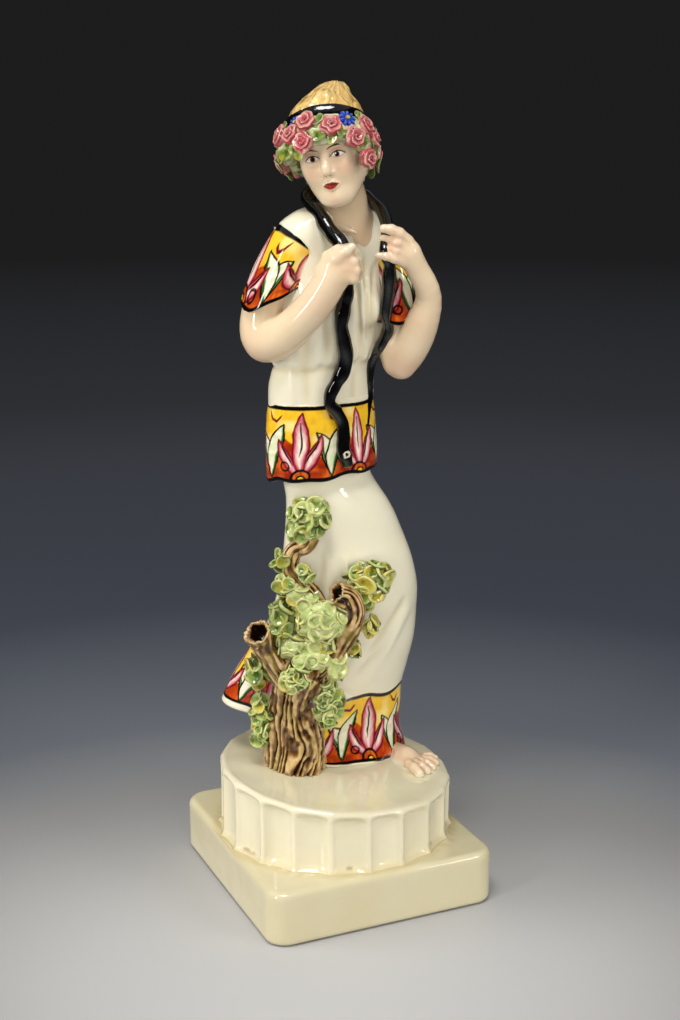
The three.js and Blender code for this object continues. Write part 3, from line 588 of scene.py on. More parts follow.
def border(s, t, W, H, seed=0, phase=0.0):
    """Folk border, W mm to a repeat and H mm tall, t measured up from the hem: open palmettes of pointed petals
    on the hem, curled leaf pairs between them, yellow above and burnt orange below. Returns colours."""
    p = np.stack([s, t, np.zeros_like(s)], -1)
    s = s + 0.9 * noise3(p, 8, seed) + 0.25 * noise3(p, 2.5, seed + 9) + phase
    t = t + 0.6 * noise3(p, 7, seed + 1)
    cell = np.floor(s / W)
    x = s - cell * W
    streak = noise3(np.stack([s * 1.0, t * 0.22, cell * 9], -1), 1.0, seed + 2)
    streak2 = noise3(np.stack([s * 0.3, t * 1.0, cell * 5], -1), 1.7, seed + 3)
    cloud = noise3(p, 6, seed + 4)
    yl = H * (0.42 + 0.13 * np.sin(2 * pi * x / W + 0.9) + 0.04 * np.sin(6 * pi * x / W + 1))
    up = mix(C["yellow"], C["yellow_deep"], np.clip(0.15 + 0.30 * streak2 + 0.25 * streak + 0.5 * np.exp(-(t - yl) / 3.0), 0, 1))
    up = mix(up, srgb("f8e69a"), np.clip(0.75 * cloud, 0, 0.7))
    dn = mix(C["red"], C["orange"], np.clip(0.25 + 0.6 * streak + 0.45 * cloud, 0, 1))
    dn = mix(dn, C["red_deep"], np.clip(0.30 + 0.6 * streak2 - 0.4 * cloud, 0, 1))
    col = mix(up, dn, sstep(-0.35, 0.35, yl - t + 0.3 * streak))
    col = mix(col, C["black"], sstep(0.70, 0.35, np.abs(t - yl + 0.25 * streak2)) * sstep(-0.5, 0.1, np.sin(4 * pi * x / W + 2.6)) * 0.95)

    def leaf(col, a, b, b1, b2, flip):
        for ox in (-W, 0, W):
            ins, k, y = lens(x - ox, t, a, b, b1, b2)
            g = mix(C["green"], C["green_dark"], np.clip(0.30 + 0.45 * streak, 0, 1))
            g2 = mix(C["paper"], C["green_pale"], np.clip(0.35 + 0.5 * streak2, 0, 1))
            g = mix(g, g2, sstep(-0.35, 0.45, (y - 0.1 * (b1 - b2)) * flip))
            col = mix(col, C["black"], sstep(-0.85, -0.5, ins))
            col = mix(col, g, sstep(0.05, 0.40, ins + 0.15 * streak))
            m = [(a[0] + ox, a[1]), ((a[0] + b[0]) / 2 + ox + 0.3, (a[1] + b[1]) / 2), (b[0] + ox, b[1])]
            col = stroke(col, x, t, m, 0.8, C["green_dark"], taper=(0.9, 0.2))
        return col

    def petal(col, a, b, b1, b2, vein):
        for ox in (-W, 0, W):
            ins, k, y = lens(x - ox, t, a, b, b1, b2)
            body = mix(C["paper"], C["pink"], np.clip(sstep(3.0, 0.9, ins + 0.6 * streak) * 0.9 + 0.15 * streak2, 0, 1))
            body = mix(body, srgb("b8324a"), np.clip(sstep(1.5, 0.5, ins + 0.5 * streak2), 0, 1) * 0.85)
            col = mix(col, C["burgundy"], sstep(-0.75, -0.35, ins + 0.2 * streak))
            col = mix(col, body, sstep(0.15, 0.55, ins))
            if vein:
                m = [(a[0] + (b[0] - a[0]) * f + ox, a[1] + (b[1] - a[1]) * f) for f in (0.3, 0.55, 0.85)]
                col = stroke(col, x, t, m, 0.9, C["black"], taper=(0.2, 0.8))
        return col

    lf = 0.80 * W
    col = leaf(col, (lf, 0.02 * H), (lf - 0.24 * W, 0.66 * H), 0.02 * W, 0.19 * W, -1)
    col = leaf(col, (lf, 0.02 * H), (lf + 0.26 * W, 0.78 * H), 0.19 * W, 0.03 * W, 1)
    fx, fy = 0.30 * W, 0.03 * H
    col = petal(col, (fx, fy), (fx - 0.36 * W, 0.56 * H), 0.13 * W, 0.04 * W, True)
    col = petal(col, (fx, fy), (fx + 0.33 * W, 0.62 * H), 0.04 * W, 0.14 * W, True)
    col = petal(col, (fx, fy), (fx + 0.02 * W, 0.97 * H), 0.13 * W, 0.12 * W, True)
    # half disc at the foot of the flower
    r = np.hypot(x - fx, (t + 0.3) * 1.0) / W
    col = mix(col, C["black"], sstep(0.175, 0.150, r))
    col = mix(col, mix(C["orange"], C["red_deep"], np.clip(0.4 + 0.6 * streak, 0, 1)), sstep(0.132, 0.118, r))
    col = mix(col, C["black"], sstep(0.080, 0.066, r))
    col = mix(col, C["yellow"], sstep(0.050, 0.040, r))
    # ring between the flowers
    for ox in (0, W):
        r = np.hypot((x - 0.05 * W - ox), (t - 0.16 * H) * 1.1) + 0.12 * streak
        col = mix(col, C["black"], sstep(0.65, 0.35, np.abs(r - 0.066 * W)) * 0.95)
    col = stroke(col, x, t, [(lf - 0.06 * W, 0.98 * H), (lf + 0.02 * W, 0.86 * H), (lf + 0.12 * W, 0.82 * H), (lf + 0.2 * W, 0.9 * H)], 1.2, C["burgundy"], taper=(0.3, 0.9))
    return col

# ------------------------------------------------------------------ dress
CREASES = [((26, 139), (10, 114), 2.0, -1.2), ((19, 118), (7, 101), 2.2, -1.0), ((29, 134), (18, 112), 2.4, 0.8), ((-5, 158), (1, 131), 1.7, -1.5), ((-10, 164), (-6, 136), 2.0, 1.0), ((0, 160), (5, 138), 1.8, 0.7), ((3, 120), (-2, 100), 2.0, -0.8)]
SKIRT = table([[206, -22, 15, 10, 14, .35], [198.5, -23.8, 17.6, 10.5, 15, .35], [192.4, -23, 21.3, 11, 16.5, .3], [187.2, -22.8, 24.7, 11, 17, .3],
    [179.8, -23.1, 28.6, 11.5, 18, .3], [172.1, -23.7, 31.7, 12, 19, .3], [156.8, -25.3, 37.3, 13, 20.5, .25], [141.3, -28, 40.2, 14.5, 21.5, .25],
    [129.7, -31.6, 40.0, 16, 22, .25], [114.6, -40.6, 38.9, 18, 22.5, .2], [100.8, -49, 36.1, 20, 23, .2], [86.8, -55.4, 33.2, 22, 23, .2],
    [77.9, -57.6, 33.0, 22.5, 24.2, .2], [70, -57.6, 32.3, 21.8, 26.3, .2], [62, -57.3, 33.4, 20.8, 28.6, .2], [57, -57, 35.0, 20.2, 30, .2], [40, -57, 38, 20, 30.5, .2]])
TUNIC = table([[192, -30.4, 19, 9, 19.4, .3], [198, -30.6, 19.2, 9, 19.5, .3], [203, -31, 19.6, 9, 19.5, .3], [210, -31.2, 20.2, 9, 19.5, .3], [220, -31.4, 19.2, 9, 19, .3],
    [228, -31, 18.6, 8.8, 18.8, .3], [235, -30.6, 18, 8.5, 18.5, .3], [246, -30.2, 18.3, 8, 18, .3], [253.5, -28.6, 19, 8, 17.5, .3], [258, -29, 22, 8, 18.3, .3],
    [270, -27.5, 26, 7.5, 18.5, .3], [285, -25.5, 27, 7, 18.5, .3], [297, -24, 27, 7, 17, .3], [307, -25, 27, 7.5, 14, .3], [313, -24.5, 26, 8, 12.5, .25],
    [318, -20, 22.5, 8.5, 11, .2], [322, -15, 18.5, 9, 9.5, .15], [326, -9.5, 14.5, 9.5, 8.2, .1], [331, -5, 11, 9.5, 6.5, .1]])


def sect(tab, z, phi, grow=0.0):
    z, phi = np.broadcast_arrays(np.asarray(z, float), np.asarray(phi, float))
    r = tab(z)
    cx, hx, hy = (r[..., 0] + r[..., 1]) / 2, (r[..., 1] - r[..., 0]) / 2 + grow, r[..., 3] + grow
    return np.stack([cx + hx * np.cos(phi), r[..., 2] + hy * np.sin(phi) + r[..., 4] * hx * np.cos(phi), z], -1)


def bump(x, c, w):
    return np.exp(-(((x - c) / w) ** 2))


def wrapdiff(a, b):
    return (a - b + pi) % (2 * pi) - pi


def skirt_hem(phi):
    x = -10.8 + 46.2 * np.cos(phi)
    d = np.degrees(np.mod(phi, 2 * pi))
    lift = 24.0 * sstep(62, 140, d) * (1 - sstep(222, 286, d))
    return DTOP + DSL * x + 0.4 + lift + 1.2 * bump(d, 292, 26) - 0.4 * bump(d, 330, 18)


def skirt_folds(phi, z):
    d = 0
    for p0, slope, z0, z1, amp, w in ((-112, 0.10, 122, 170, -1.1, 5.0), (-102, 0.12, 118, 176, 0.7, 5.5), (-48, 0.5, 96, 136, 0.4, 7), (-128, 0.1, 96, 150, -0.9, 6),
                                      (60, 0.0, 60, 150, -1.3, 9), (95, 0.05, 60, 165, 1.2, 10), (125, 0.1, 60, 150, -1.5, 8), (150, 0.12, 70, 140, 1.0, 9), (30, 0.05, 60, 140, 0.9, 9)):
        c = np.radians(p0 + slope * (z - 0.5 * (z0 + z1)))
        win = sstep(z0 - 10, z0 + 8, z) * (1 - sstep(z1 - 12, z1 + 10, z))
        d = d + amp * np.exp(-((wrapdiff(phi, c) / np.radians(w)) ** 2)) * win
    # drag folds that run down to the left under the right-hand leaves, seen from the front
    x = -10 + 44 * np.cos(phi)
    on = sstep(0.1, -0.3, np.sin(phi))
    for (x0, z0), (x1, z1), w, amp in CREASES:
        L = math.hypot(x1 - x0, z1 - z0)
        ex, ez = (x1 - x0) / L, (z1 - z0) / L
        k = (x - x0) * ex + (z - z0) * ez
        off = -(x - x0) * ez + (z - z0) * ex + 0.8 * np.sin(k / L * pi)
        d = d + amp * np.exp(-((off / w) ** 2)) * sstep(-3, 4, k) * (1 - sstep(L - 5, L + 3, k)) * on
    return d


def dress(tab, hem, folds, n, top, rows_t, fine=400, base=None):
    """Grid of points on a dress section surface at given distances up from the hem."""
    phi = np.linspace(0, 2 * pi, n, endpoint=False) + pi / 2
    v = np.linspace(0, 1, fine)[:, None]
    z = hem(phi)[None] + (top - hem(phi)[None]) * v
    ph = np.broadcast_to(phi, z.shape)
    P = sect(tab, z, ph)
    P = P + grid_normals(P) * folds(ph, z)[..., None]
    L = np.concatenate([np.zeros((1, n)), np.cumsum(np.linalg.norm(np.diff(P, axis=0), axis=2), 0)])
    out = np.empty((len(rows_t), n, 3))
    rows_t = np.asarray(rows_t, float)
    for j in range(n):
        t = rows_t if rows_t.ndim == 1 else rows_t[:, j]
        if base is not None:
            t = np.where(t > 1e3, (t - 1e4) * (L[-1, j] - base[j]) + base[j], t)
        for k in range(3):
            out[:, j, k] = np.interp(t, L[:, j], P[:, j, k])
    return out, phi


def around(P, row):
    """Distance round the ring of points at one row, from the back."""
    r = P[row]
    d = np.linalg.norm(np.diff(np.vstack([r, r[:1]]), axis=0), axis=1)
    s = np.concatenate([[0], np.cumsum(d)])
    return s[:-1], s[-1]


def edged(P, steps):
    """Rows turned in under the first row of P: steps are (inwards, along z), given from the far end."""
    c = P[0].mean(0)
    inward = c - P[0]
    inward[:, 2] = 0
    inward = norm(inward)
    return np.array([P[0] + inward * a + np.array([0, 0, b]) for a, b in steps])


def painted_strip(name, P, H, W, line_low, line_high, seed, replaces, steps=None, phase=0.0, base="robe", stretch=1.0):
    """Dense strip: rows from the hem up; a black line at the hem, the border, a black line above."""
    n = P.shape[1]
    rim = edged(P, steps) if steps is not None else np.zeros((0, n, 3))
    s, total = around(P, len(P) // 2)
    reps = max(1, round(total / W))
    W = total / reps
    t = np.concatenate([np.zeros((1, n)), np.cumsum(np.linalg.norm(np.diff(P, axis=0), axis=2), 0)]) * stretch
    S = np.broadcast_to(s, t.shape)
    p3 = np.stack([S, t, np.zeros_like(t)], -1)
    wav = 0.3 * noise3(p3, 5, seed + 31)
    col = border(S, t - line_low, W, H - line_low, seed, phase)
    k = (t + wav)
    edge = sstep(line_low + 0.2, line_low - 0.2, k) + sstep(H - 0.2, H + 0.2, k) * sstep(H + line_high + 0.2, H + line_high - 0.2, k)
    col = mix(col, C["black"], np.clip(edge, 0, 1))
    col = mix(col, C[base], sstep(H + line_high - 0.2, H + line_high + 0.2, k))
    rc = np.broadcast_to(C[base], rim.shape).copy()
    if len(rim):
        rc[-1] = C["black"]
    G = np.concatenate([rim, P])
    V, q, t_ = wrap(G, False, False)
    q, t_ = facing_out(V - V.mean(0), q, t_)
    return make(name, V, q, t_, np.concatenate([rc, col]).reshape(-1, 3), M["robe"], replaces)


ROW_BASE = 32.6


def skirt():
    n = 600
    phi = np.linspace(0, 2 * pi, n, endpoint=False) + pi / 2
    d = np.degrees(np.mod(phi, 2 * pi))
    # the band is taller at the front right than where the tree covers it
    tall = (31.0 + 3.6 * bump(d, 306, 17) - 6.5 * bump(d, 277, 9) + 5.5 * bump(d, 350, 24)) / 31.0
    dense = np.arange(0, ROW_BASE, 0.34)
    up = 1e4 + np.linspace(0, 1, 60)
    rows = np.concatenate([dense[:, None] * tall, np.repeat(up[:, None], n, 1)])
    P, phi = dress(SKIRT, skirt_hem, skirt_folds, n, 206, rows, base=ROW_BASE * tall)
    steps = [(15, -7), (9, -4.6), (5, -3.6), (3.0, -2.6), (1.6, -1.9), (0.7, -1.3), (0.15, -0.6)]
    rim = edged(P, steps)
    H, ll, lh = 29.3, 1.6, 1.8
    s, total = around(P, len(dense) // 2)
    W = total / round(total / 31.0)
    t = np.concatenate([np.broadcast_to(dense[:, None], (len(dense), n)), ROW_BASE + np.cumsum(np.linalg.norm(np.diff(P[len(dense) - 1:], axis=0), axis=2), 0)])
    t = t - 2.4 * sstep(120, 150, d) * (1 - sstep(240, 262, d))
    S = np.broadcast_to(s, t.shape)
    k = t + 0.3 * noise3(np.stack([S, t, t * 0], -1), 6, 71)
    z = P[..., 2]
    f = skirt_folds(np.broadcast_to(phi, t.shape), z)
    # the skirt's robe colour is painted 4 % lighter to make up for its shade (painted light), and cooler and deeper
    # ivory in the fold valleys (painted shade)
    base = 1.04 * mix(C["robe"], C["robe_cool"], np.clip(0.35 + 0.3 * fbm(P, 40, 4) + 0.3 * sstep(0, -1.2, f), 0, 1))
    base = mix(base, C["ivory_deep"], 0.35 * sstep(-0.25, -1.3, f))
    col = base.copy()
    m = len(dense) + 2
    b = border(S[:m], t[:m] - ll, W, H - ll, 40, 9.0)
    col[:m] = mix(b, base[:m], sstep(H + lh - 0.2, H + lh + 0.2, k[:m]))
    edge = sstep(-0.2, 0.2, k) * sstep(ll + 0.2, ll - 0.2, k) + sstep(H - 0.2, H + 0.2, k) * sstep(H + lh + 0.2, H + lh - 0.2, k)
    col = mix(col, C["black"], np.clip(edge, 0, 1))
    col = mix(base, col, sstep(-0.2, 0.2, k))
    rc = np.broadcast_to(C["robe"], rim.shape).copy()
    G = np.concatenate([rim, P])
    V, q, tr = wrap(G, False, True)
    q, tr = facing_out(V - V.mean(0), q, tr)
    cc = np.concatenate([np.concatenate([rc, col]).reshape(-1, 3), C["robe"][None]])
    make("skirt_shape", V, q, tr, cc, M["robe"], ("skirt",))


def tunic_hem(phi):
    return 203.1 + 1.5 * np.cos(phi) + 0.55 * np.sin(5 * phi + 0.4) + 0.35 * np.sin(9 * phi - 1.0)


def tunic_folds(phi, z):
    return (0.55 * np.sin(5 * phi - 1.0) + 0.35 * np.sin(9 * phi + 2)) * sstep(228, 203, z) + 0.5 * bump(wrapdiff(phi, -0.35), 0, 0.14) * sstep(236, 215, z) - 0.5 * bump(wrapdiff(phi, -0.66), 0, 0.14) * sstep(236, 215, z)


def tunic_border():
    t = np.arange(0, 35.7, 0.31)
    P, phi = dress(TUNIC, tunic_hem, lambda ph, z: tunic_folds(ph, z) + 0.3 * sstep(236, 230, z) + 0.22, 480, 252, t)
    P[-1] = P[-1] - 1.0 * norm(P[-1] - P[-1].mean(0)) + np.array((0, 0, 0.2))
    steps = [(6.5, 12), (5.2, 6), (3.4, 3.5), (2.2, 1.6), (1.3, 0.1), (0.6, -0.5), (0.15, -0.4)]
    painted_strip("tunic_border", P, 32.6, 31.0, 1.5, 2.0, 11, ("tunic",), steps=steps, phase=4.0, stretch=33.9 / (237.0 - tunic_hem(phi)))


# sleeves: centre line with radius, and the distance along it where the border starts
SLEEVE_R = catmull([[-8, 3, 317, 9.6], [-15.5, 1.2, 310.6, 11.7], [-22.2, -0.5, 298.5, 13.1], [-26.4, -2.2, 287, 14.1], [-29.6, -3.5, 277.2, 14.8]], 110)
SLEEVE_L = catmull([[16, 13, 312, 8.5], [21.6, 12.5, 304, 10.6], [25.4, 10.5, 291, 11.6], [27.0, 8.0, 279.5, 12.4], [27.5, 6.5, 270, 12.7]], 110)


START_R, START_L = 9.9, 9.0


def hem_r(dirs):
    """How far past the end ring the right sleeve's hem lies, along the sleeve, for each direction round it."""
    e = -13.6 * dirs[:, 0] - 10.1 * dirs[:, 1] - 6.1
    return -10 + np.log1p(np.exp((e + 10) / 2.0)) * 2.0


def sleeve(name, path, start, end, hem, seed, node, phase):
    L = np.concatenate([[0], np.cumsum(np.linalg.norm(np.diff(path[:, :3], axis=0), axis=1))])
    t, u, v = frames(path[:, :3], (0, 1, 0))
    n, K = 300, 118
    a = np.linspace(0, 2 * pi, n, endpoint=False)
    je = np.searchsorted(L, end)
    dirs = np.cos(a)[:, None] * u[je] + np.sin(a)[:, None] * v[je]
    e = end + hem(dirs) + 0.7 * np.sin(4 * a + seed) + 0.4 * np.sin(7 * a)
    k = np.linspace(0, 1, K)[:, None]
    s = e + (start - e) * k
    def at(cols):
        return np.stack([np.interp(s, L, c) for c in cols.T], -1)
    c, uu, vv, tt = at(path), at(u), at(v), at(t)
    away = (e - s)
    r = c[..., 3] * (1 + 0.016 * np.sin(3 * a + seed) + 0.012 * np.sin(5 * a + 2 * seed)) + 0.45 * np.sin(4 * a + seed) * np.exp(-away / 8)
    P = c[..., :3] + r[..., None] * (np.cos(a)[:, None] * uu + np.sin(a)[:, None] * vv)
    inward = norm(c[0, :, :3] - P[0])
    rimw = [P[0] + inward * d - tt[0] * up for d, up in ((5.0, 10), (3.6, 5), (2.3, 2), (1.4, 0.3), (0.7, -0.45), (0.15, -0.3))]
    tuck = [P[-1] * (1 - f) + c[-1, :, :3] * f - tt[-1] * w for f, w in ((0.02, 0.5), (0.10, 0.9), (0.3, 1.2))]
    H0 = float(np.median(e - start))
    H = H0 - 1.3
    sring, total = around(P, K // 2)
    reps = max(1, round(total / 26.5))
    W = total / reps
    T = np.broadcast_to(k * H0, P.shape[:2])
    S = np.broadcast_to(sring, T.shape)
    col = border(S, T - 1.1, W, H - 1.1, seed, phase)
    kk = T + 0.2 * noise3(np.stack([S, T, S * 0], -1), 5, seed + 5)
    edge = sstep(1.1 + 0.2, 1.1 - 0.2, kk) + sstep(H - 0.2, H + 0.2, kk)
    col = mix(col, C["black"], np.clip(edge, 0, 1))
    rim, tuck = np.array(rimw), np.array(tuck)
    rc = np.broadcast_to(C["robe"], rim.shape).copy()
    rc[-1] = C["black"]
    tc = np.broadcast_to(C["robe"], tuck.shape)
    G = np.concatenate([rim, P, tuck])
    V, q, tr = wrap(G, False, False)
    q, tr = facing_out(V - V.mean(0), q, tr)
    make(name, V, q, tr, np.concatenate([rc, col, tc]).reshape(-1, 3), M["robe"], (node,))


def implicit_section(F, tab, grow=0.0):
    z = F.Z.ravel()
    r = tab(z)
    cx, hx, hy = (r[:, 0] + r[:, 1]) / 2, (r[:, 1] - r[:, 0]) / 2 + grow, r[:, 3] + grow
    x = (F.X - cx[None, None].astype(np.float32))
    y = F.Y - r[:, 2][None, None].astype(np.float32) - r[:, 4][None, None].astype(np.float32) * x
    f = np.sqrt((x / hx[None, None].astype(np.float32)) ** 2 + (y / hy[None, None].astype(np.float32)) ** 2) - 1
    g = np.gradient(f, F.h)
    return (f / np.maximum(np.sqrt(g[0] ** 2 + g[1] ** 2 + g[2] ** 2), 1e-4)).astype(np.float32)


def sample(F, d, V):
    """Trilinear value of the field at points."""
    g = np.clip((V - F.lo) / F.h, 0, F.n - 1.001)
    i = g.astype(int)
    f = g - i
    out = 0
    for dx in (0, 1):
        for dy in (0, 1):
            for dz in (0, 1):
                w = (f[:, 0] if dx else 1 - f[:, 0]) * (f[:, 1] if dy else 1 - f[:, 1]) * (f[:, 2] if dz else 1 - f[:, 2])
                out = out + w * d[i[:, 0] + dx, i[:, 1] + dy, i[:, 2] + dz]
    return out


def meshed(F, d, soft=2):
    """Surface of the field, relaxed and set back on its zero level; also its outward normals."""
    V, q = F.mesh(d)
    n = len(V)
    a = np.concatenate([q[:, 0], q[:, 1], q[:, 2], q[:, 3]])
    b = np.concatenate([q[:, 1], q[:, 2], q[:, 3], q[:, 0]])
    i, j = np.concatenate([a, b]), np.concatenate([b, a])
    deg = np.bincount(i, minlength=n)[:, None]
    e = F.h * 0.8

    def grad(V):
        return np.stack([sample(F, d, V + np.eye(3)[k] * e) - sample(F, d, V - np.eye(3)[k] * e) for k in range(3)], 1) / (2 * e)

    def near(V):
        return np.stack([np.bincount(i, weights=V[j, k], minlength=n) for k in range(3)], 1) / deg

    for _ in range(soft):
        V = V + 0.6 * (near(V) - V)
        g = grad(V)
        V = V - (sample(F, d, V) / np.maximum((g * g).sum(1), 0.2))[:, None] * g
    N = norm(grad(V))
    # how hollow the surface is, smoothed
    h = ((near(V) - V) * N).sum(1) / F.h
    for _ in range(4):
        h = np.bincount(i, weights=h[j], minlength=n) / deg[:, 0]
    return V, q, N, h


NECK_LINE = [(-180, 326), (-150, 324), (-133, 320.5), (-118, 316), (-105, 318), (-90, 315.8), (-78, 314.8), (-66, 314.8), (-56, 315.8), (-48, 317.6), (-41, 318.5), (-30, 322), (0, 324.5), (90, 325), (180, 326)]


def along_dist(V, path):
    """Distance along the path of the nearest path point, for each vertex."""
    L = np.concatenate([[0], np.cumsum(np.linalg.norm(np.diff(path[:, :3], axis=0), axis=1))])
    best, out, off = np.full(len(V), 1e9), np.zeros(len(V)), np.zeros(len(V))
    for k in range(0, len(path), 2):
        d = ((V - path[k, :3]) ** 2).sum(1)
        m = d < best
        best[m], out[m] = d[m], L[k]
    return out, np.sqrt(best)


def blouse():
    F = Field((-44, -22, 233.5), (44, 34, 332), 0.62)
    d = implicit_section(F, TUNIC)
    # bust, and the fullness that hangs over the waist seam
    d = smin(d, F.egg((-9, -5.5, 283), (9.5, 8.5, 10)), 7)
    d = smin(d, F.egg((13, -4.6, 283), (8, 7, 9.5)), 8)
    for path, start in ((SLEEVE_R, START_R), (SLEEVE_L, START_L)):
        L = np.concatenate([[0], np.cumsum(np.linalg.norm(np.diff(path[:, :3], axis=0), axis=1))])
        s = np.linspace(0, start + 6, 9)
        pts = np.stack([np.interp(s, L, path[:, i]) for i in range(4)], 1)
        pts[:, 3] -= 0.25
        c = np.array([np.interp(start + 0.2, L, path[:, i]) for i in range(3)])
        ax = norm(np.array([np.interp(start + 2, L, path[:, i]) - np.interp(start - 2, L, path[:, i]) for i in range(3)]))
        x, y, z = F.at(c)
        arm_ = smax(chain(F, pts, 1.5), (x * ax[0] + y * ax[1] + z * ax[2]).astype(np.float32), 0.8)
        d = smin(d, arm_, 4.5)
    ang = np.degrees(np.arctan2(F.Y - 8, F.X - 9))
    zt = np.interp(ang, [a for a, _ in NECK_LINE], [z for _, z in NECK_LINE]).astype(np.float32)
    cut = F.Z - zt - 0 * F.X
    d = smax(d, np.broadcast_to(cut, d.shape), 1.2)
    V, q, N, h = meshed(F, d)
    keep = V[:, 2] > 234.6
    m = keep[q].all(1)
    q = q[m]
    ph = np.arctan2(V[:, 1] - 8, V[:, 0])
    z, x = V[:, 2], V[:, 0]
    # gathers under the neckline and over the waist, and the waist crease
    front = bump(ph, np.radians(-75), 0.55)
    gather = np.sin(ph * 26 + 0.06 * (z - 290)) * front * sstep(262, 300, z) * 0.25
    waist = np.sin(ph * 19 + 1.3 * np.sin(ph * 3)) * (sstep(255, 258.5, z) * (1 - sstep(259, 272, z))) * 0.3
    crease = -0.7 * bump(z + 1.2 * np.sin(2 * ph) + 0.8 * np.sin(11 * ph), 254.6, 1.9) * (0.5 + 0.5 * sstep(-1, 1, np.cos(ph + 1.9) * 2))
    # gathers that hang between the lengths of the snake
    hang = 0
    for x0, x1, z0, z1, w, amp in ((9.5, 12.5, 306, 262, 1.5, -0.9), (13.6, 15.0, 304, 268, 1.4, -0.7), (17.6, 17.0, 300, 270, 1.3, -0.6), (-6, -2.5, 300, 262, 2.0, -0.5), (11.4, 13.8, 300, 258, 1.4, 0.6), (-14, -12, 272, 240, 2.2, -0.5), (-20, -19, 262, 240, 2.2, 0.45), (9.5, 9.0, 252, 238, 1.6, -0.45)):
        f = np.clip((z0 - z) / (z0 - z1), 0, 1)
        hang = hang + 1.5 * amp * np.exp(-(((x - (x0 + (x1 - x0) * f)) / w) ** 2)) * sstep(z1 - 6, z1 + 5, z) * (1 - sstep(z0 - 6, z0 + 3, z)) * sstep(0.2, -0.3, np.sin(ph))
    back = 0.6 * np.sin(ph * 9 + 0.5) * sstep(0.3, 1.0, np.sin(ph)) * sstep(258, 275, z) * (1 - sstep(300, 315, z))
    disp = gather + waist + crease + hang + back
    V2 = V + N * disp[:, None]
    # painted shade: cooler and deeper ivory in the hollows, along the front of the waist crease and down the hanging
    # folds
    col = mix(C["robe"], C["robe_cool"], np.clip(0.25 + 0.35 * fbm(V, 26, 14) + sstep(0.02, 0.12, h) * 0.5, 0, 1))
    col = mix(col, C["ivory_deep"], 0.45 * sstep(0.05, 0.2, h) + 0.35 * bump(z + 1.2 * np.sin(2 * ph), 254.6, 1.3) * (np.abs(wrapdiff(ph, -pi / 2)) < 1.5) + np.clip(-0.45 * hang, 0, 0.4))
    make("tunic_bodice", V2, q, None, col, M["robe"], ("tunic",))


def skin_paint(V, h, blush=()):
    col = np.broadcast_to(C["skin"], V.shape).copy()
    # redder in the hollows, painted shade; paler towards the robe colour on the rises
    col = mix(col, C["skin_red"], np.clip(0.10 + 0.18 * fbm(V, 12, 6) + 0.5 * sstep(0.03, 0.15, h), 0, 0.8))
    col = mix(col, C["robe"], np.clip(0.25 * sstep(0.0, -0.05, h), 0, 0.3))
    for c, r, a in blush:
        col = mix(col, C["skin_red"], a * np.exp(-((V - np.array(c, float)) ** 2).sum(1) / r**2))
    return col


def neck():
    F = Field((-20, -17, 292), (30, 26, 346), 0.5)
    chest = implicit_section(F, TUNIC, -1.3)
    d = smax(chest, F.Z - 332, 3)
    n1 = F.rod((9, 8.2, 312), (5.4, 5.9, 330), 8.9, 8.2)
    n2 = F.rod((5.4, 5.9, 330), (2.0, 4.6, 345), 8.2, 8.6)
    d = smin(d, smin(n1, n2, 3), 5.5)
    # right collar bone and the hollow at the base of the neck between the collar bones
    d = smin(d, F.rod((9.8, -5.6, 315.2), (-4, -1.2, 319.6), 0.8, 0.8), 4)
    d = smax(d, -F.egg((11.8, -8.0, 316.4), (2.0, 1.9, 1.8)), 2.6)
    V, q, N, h = meshed(F, d, 3)
    q = q[(V[:, 2] > 293.0)[q].all(1)]
    col = skin_paint(V, h, (((12, -8, 316), 3, 0.25),))
    # painted shadow of the head: deeper and redder under the chin, and the neck darker towards the top
    col = mix(col, C["skin_red"] * 0.8, 0.5 * sstep(326, 338, V[:, 2]))
    col = col * (1 - 0.22 * sstep(310, 330, V[:, 2]))[:, None] * np.array([1.0, 0.98, 0.94])
    make("neck_and_chest", V, q, None, col, M["skin"], ("neck_chest",))


def arm(name, node, path, hand, blush, box, h=0.42):
    F = Field(*box, h)
    P = catmull(path, 22)
    d = chain(F, P, 2.2)
    d = hand(F, d)
    V, q, N, hh = meshed(F, d)
    make(name, V, q, None, skin_paint(V, hh, blush), M["skin"], (node,))


def right_hand(F, d):
    # closed round the snake: back of the hand to the viewer, thumb along the right edge
    palm = F.egg((2.2, -18.6, 301.6), (7.2, 5.0, 8.4), rot(( -0.35, 0, 0.94), (0.94, 0, 0.35)))
    d = smin(d, palm, 5)
    d = smin(d, chain(F, [(-2.5, -18.6, 306.2, 3.0), (2.0, -20.2, 309.0, 2.7), (6.2, -19.2, 309.6, 2.4), (8.6, -16.4, 308.2, 2.2)], 1), 2.2)
    for k, (z, x) in enumerate(((304.2, 9.4), (300.4, 10.4), (296.9, 9.4))):
        d = smin(d, chain(F, [(x - 6.5, -20.8, z + 1.2, 2.6), (x - 1.2, -21.0, z, 2.4), (x + 0.2, -17.4, z - 0.4, 2.2), (x - 3.5, -14.6, z - 0.6, 2.1)], 1), 1.7)
    d = smin(d, chain(F, [(-4.6, -18.0, 300.5, 3.4), (0.6, -21.6, 305.6, 2.8), (5.2, -22.6, 309.0, 2.2), (7.8, -22.0, 310.9, 1.8)], 1), 2.0)
    return d


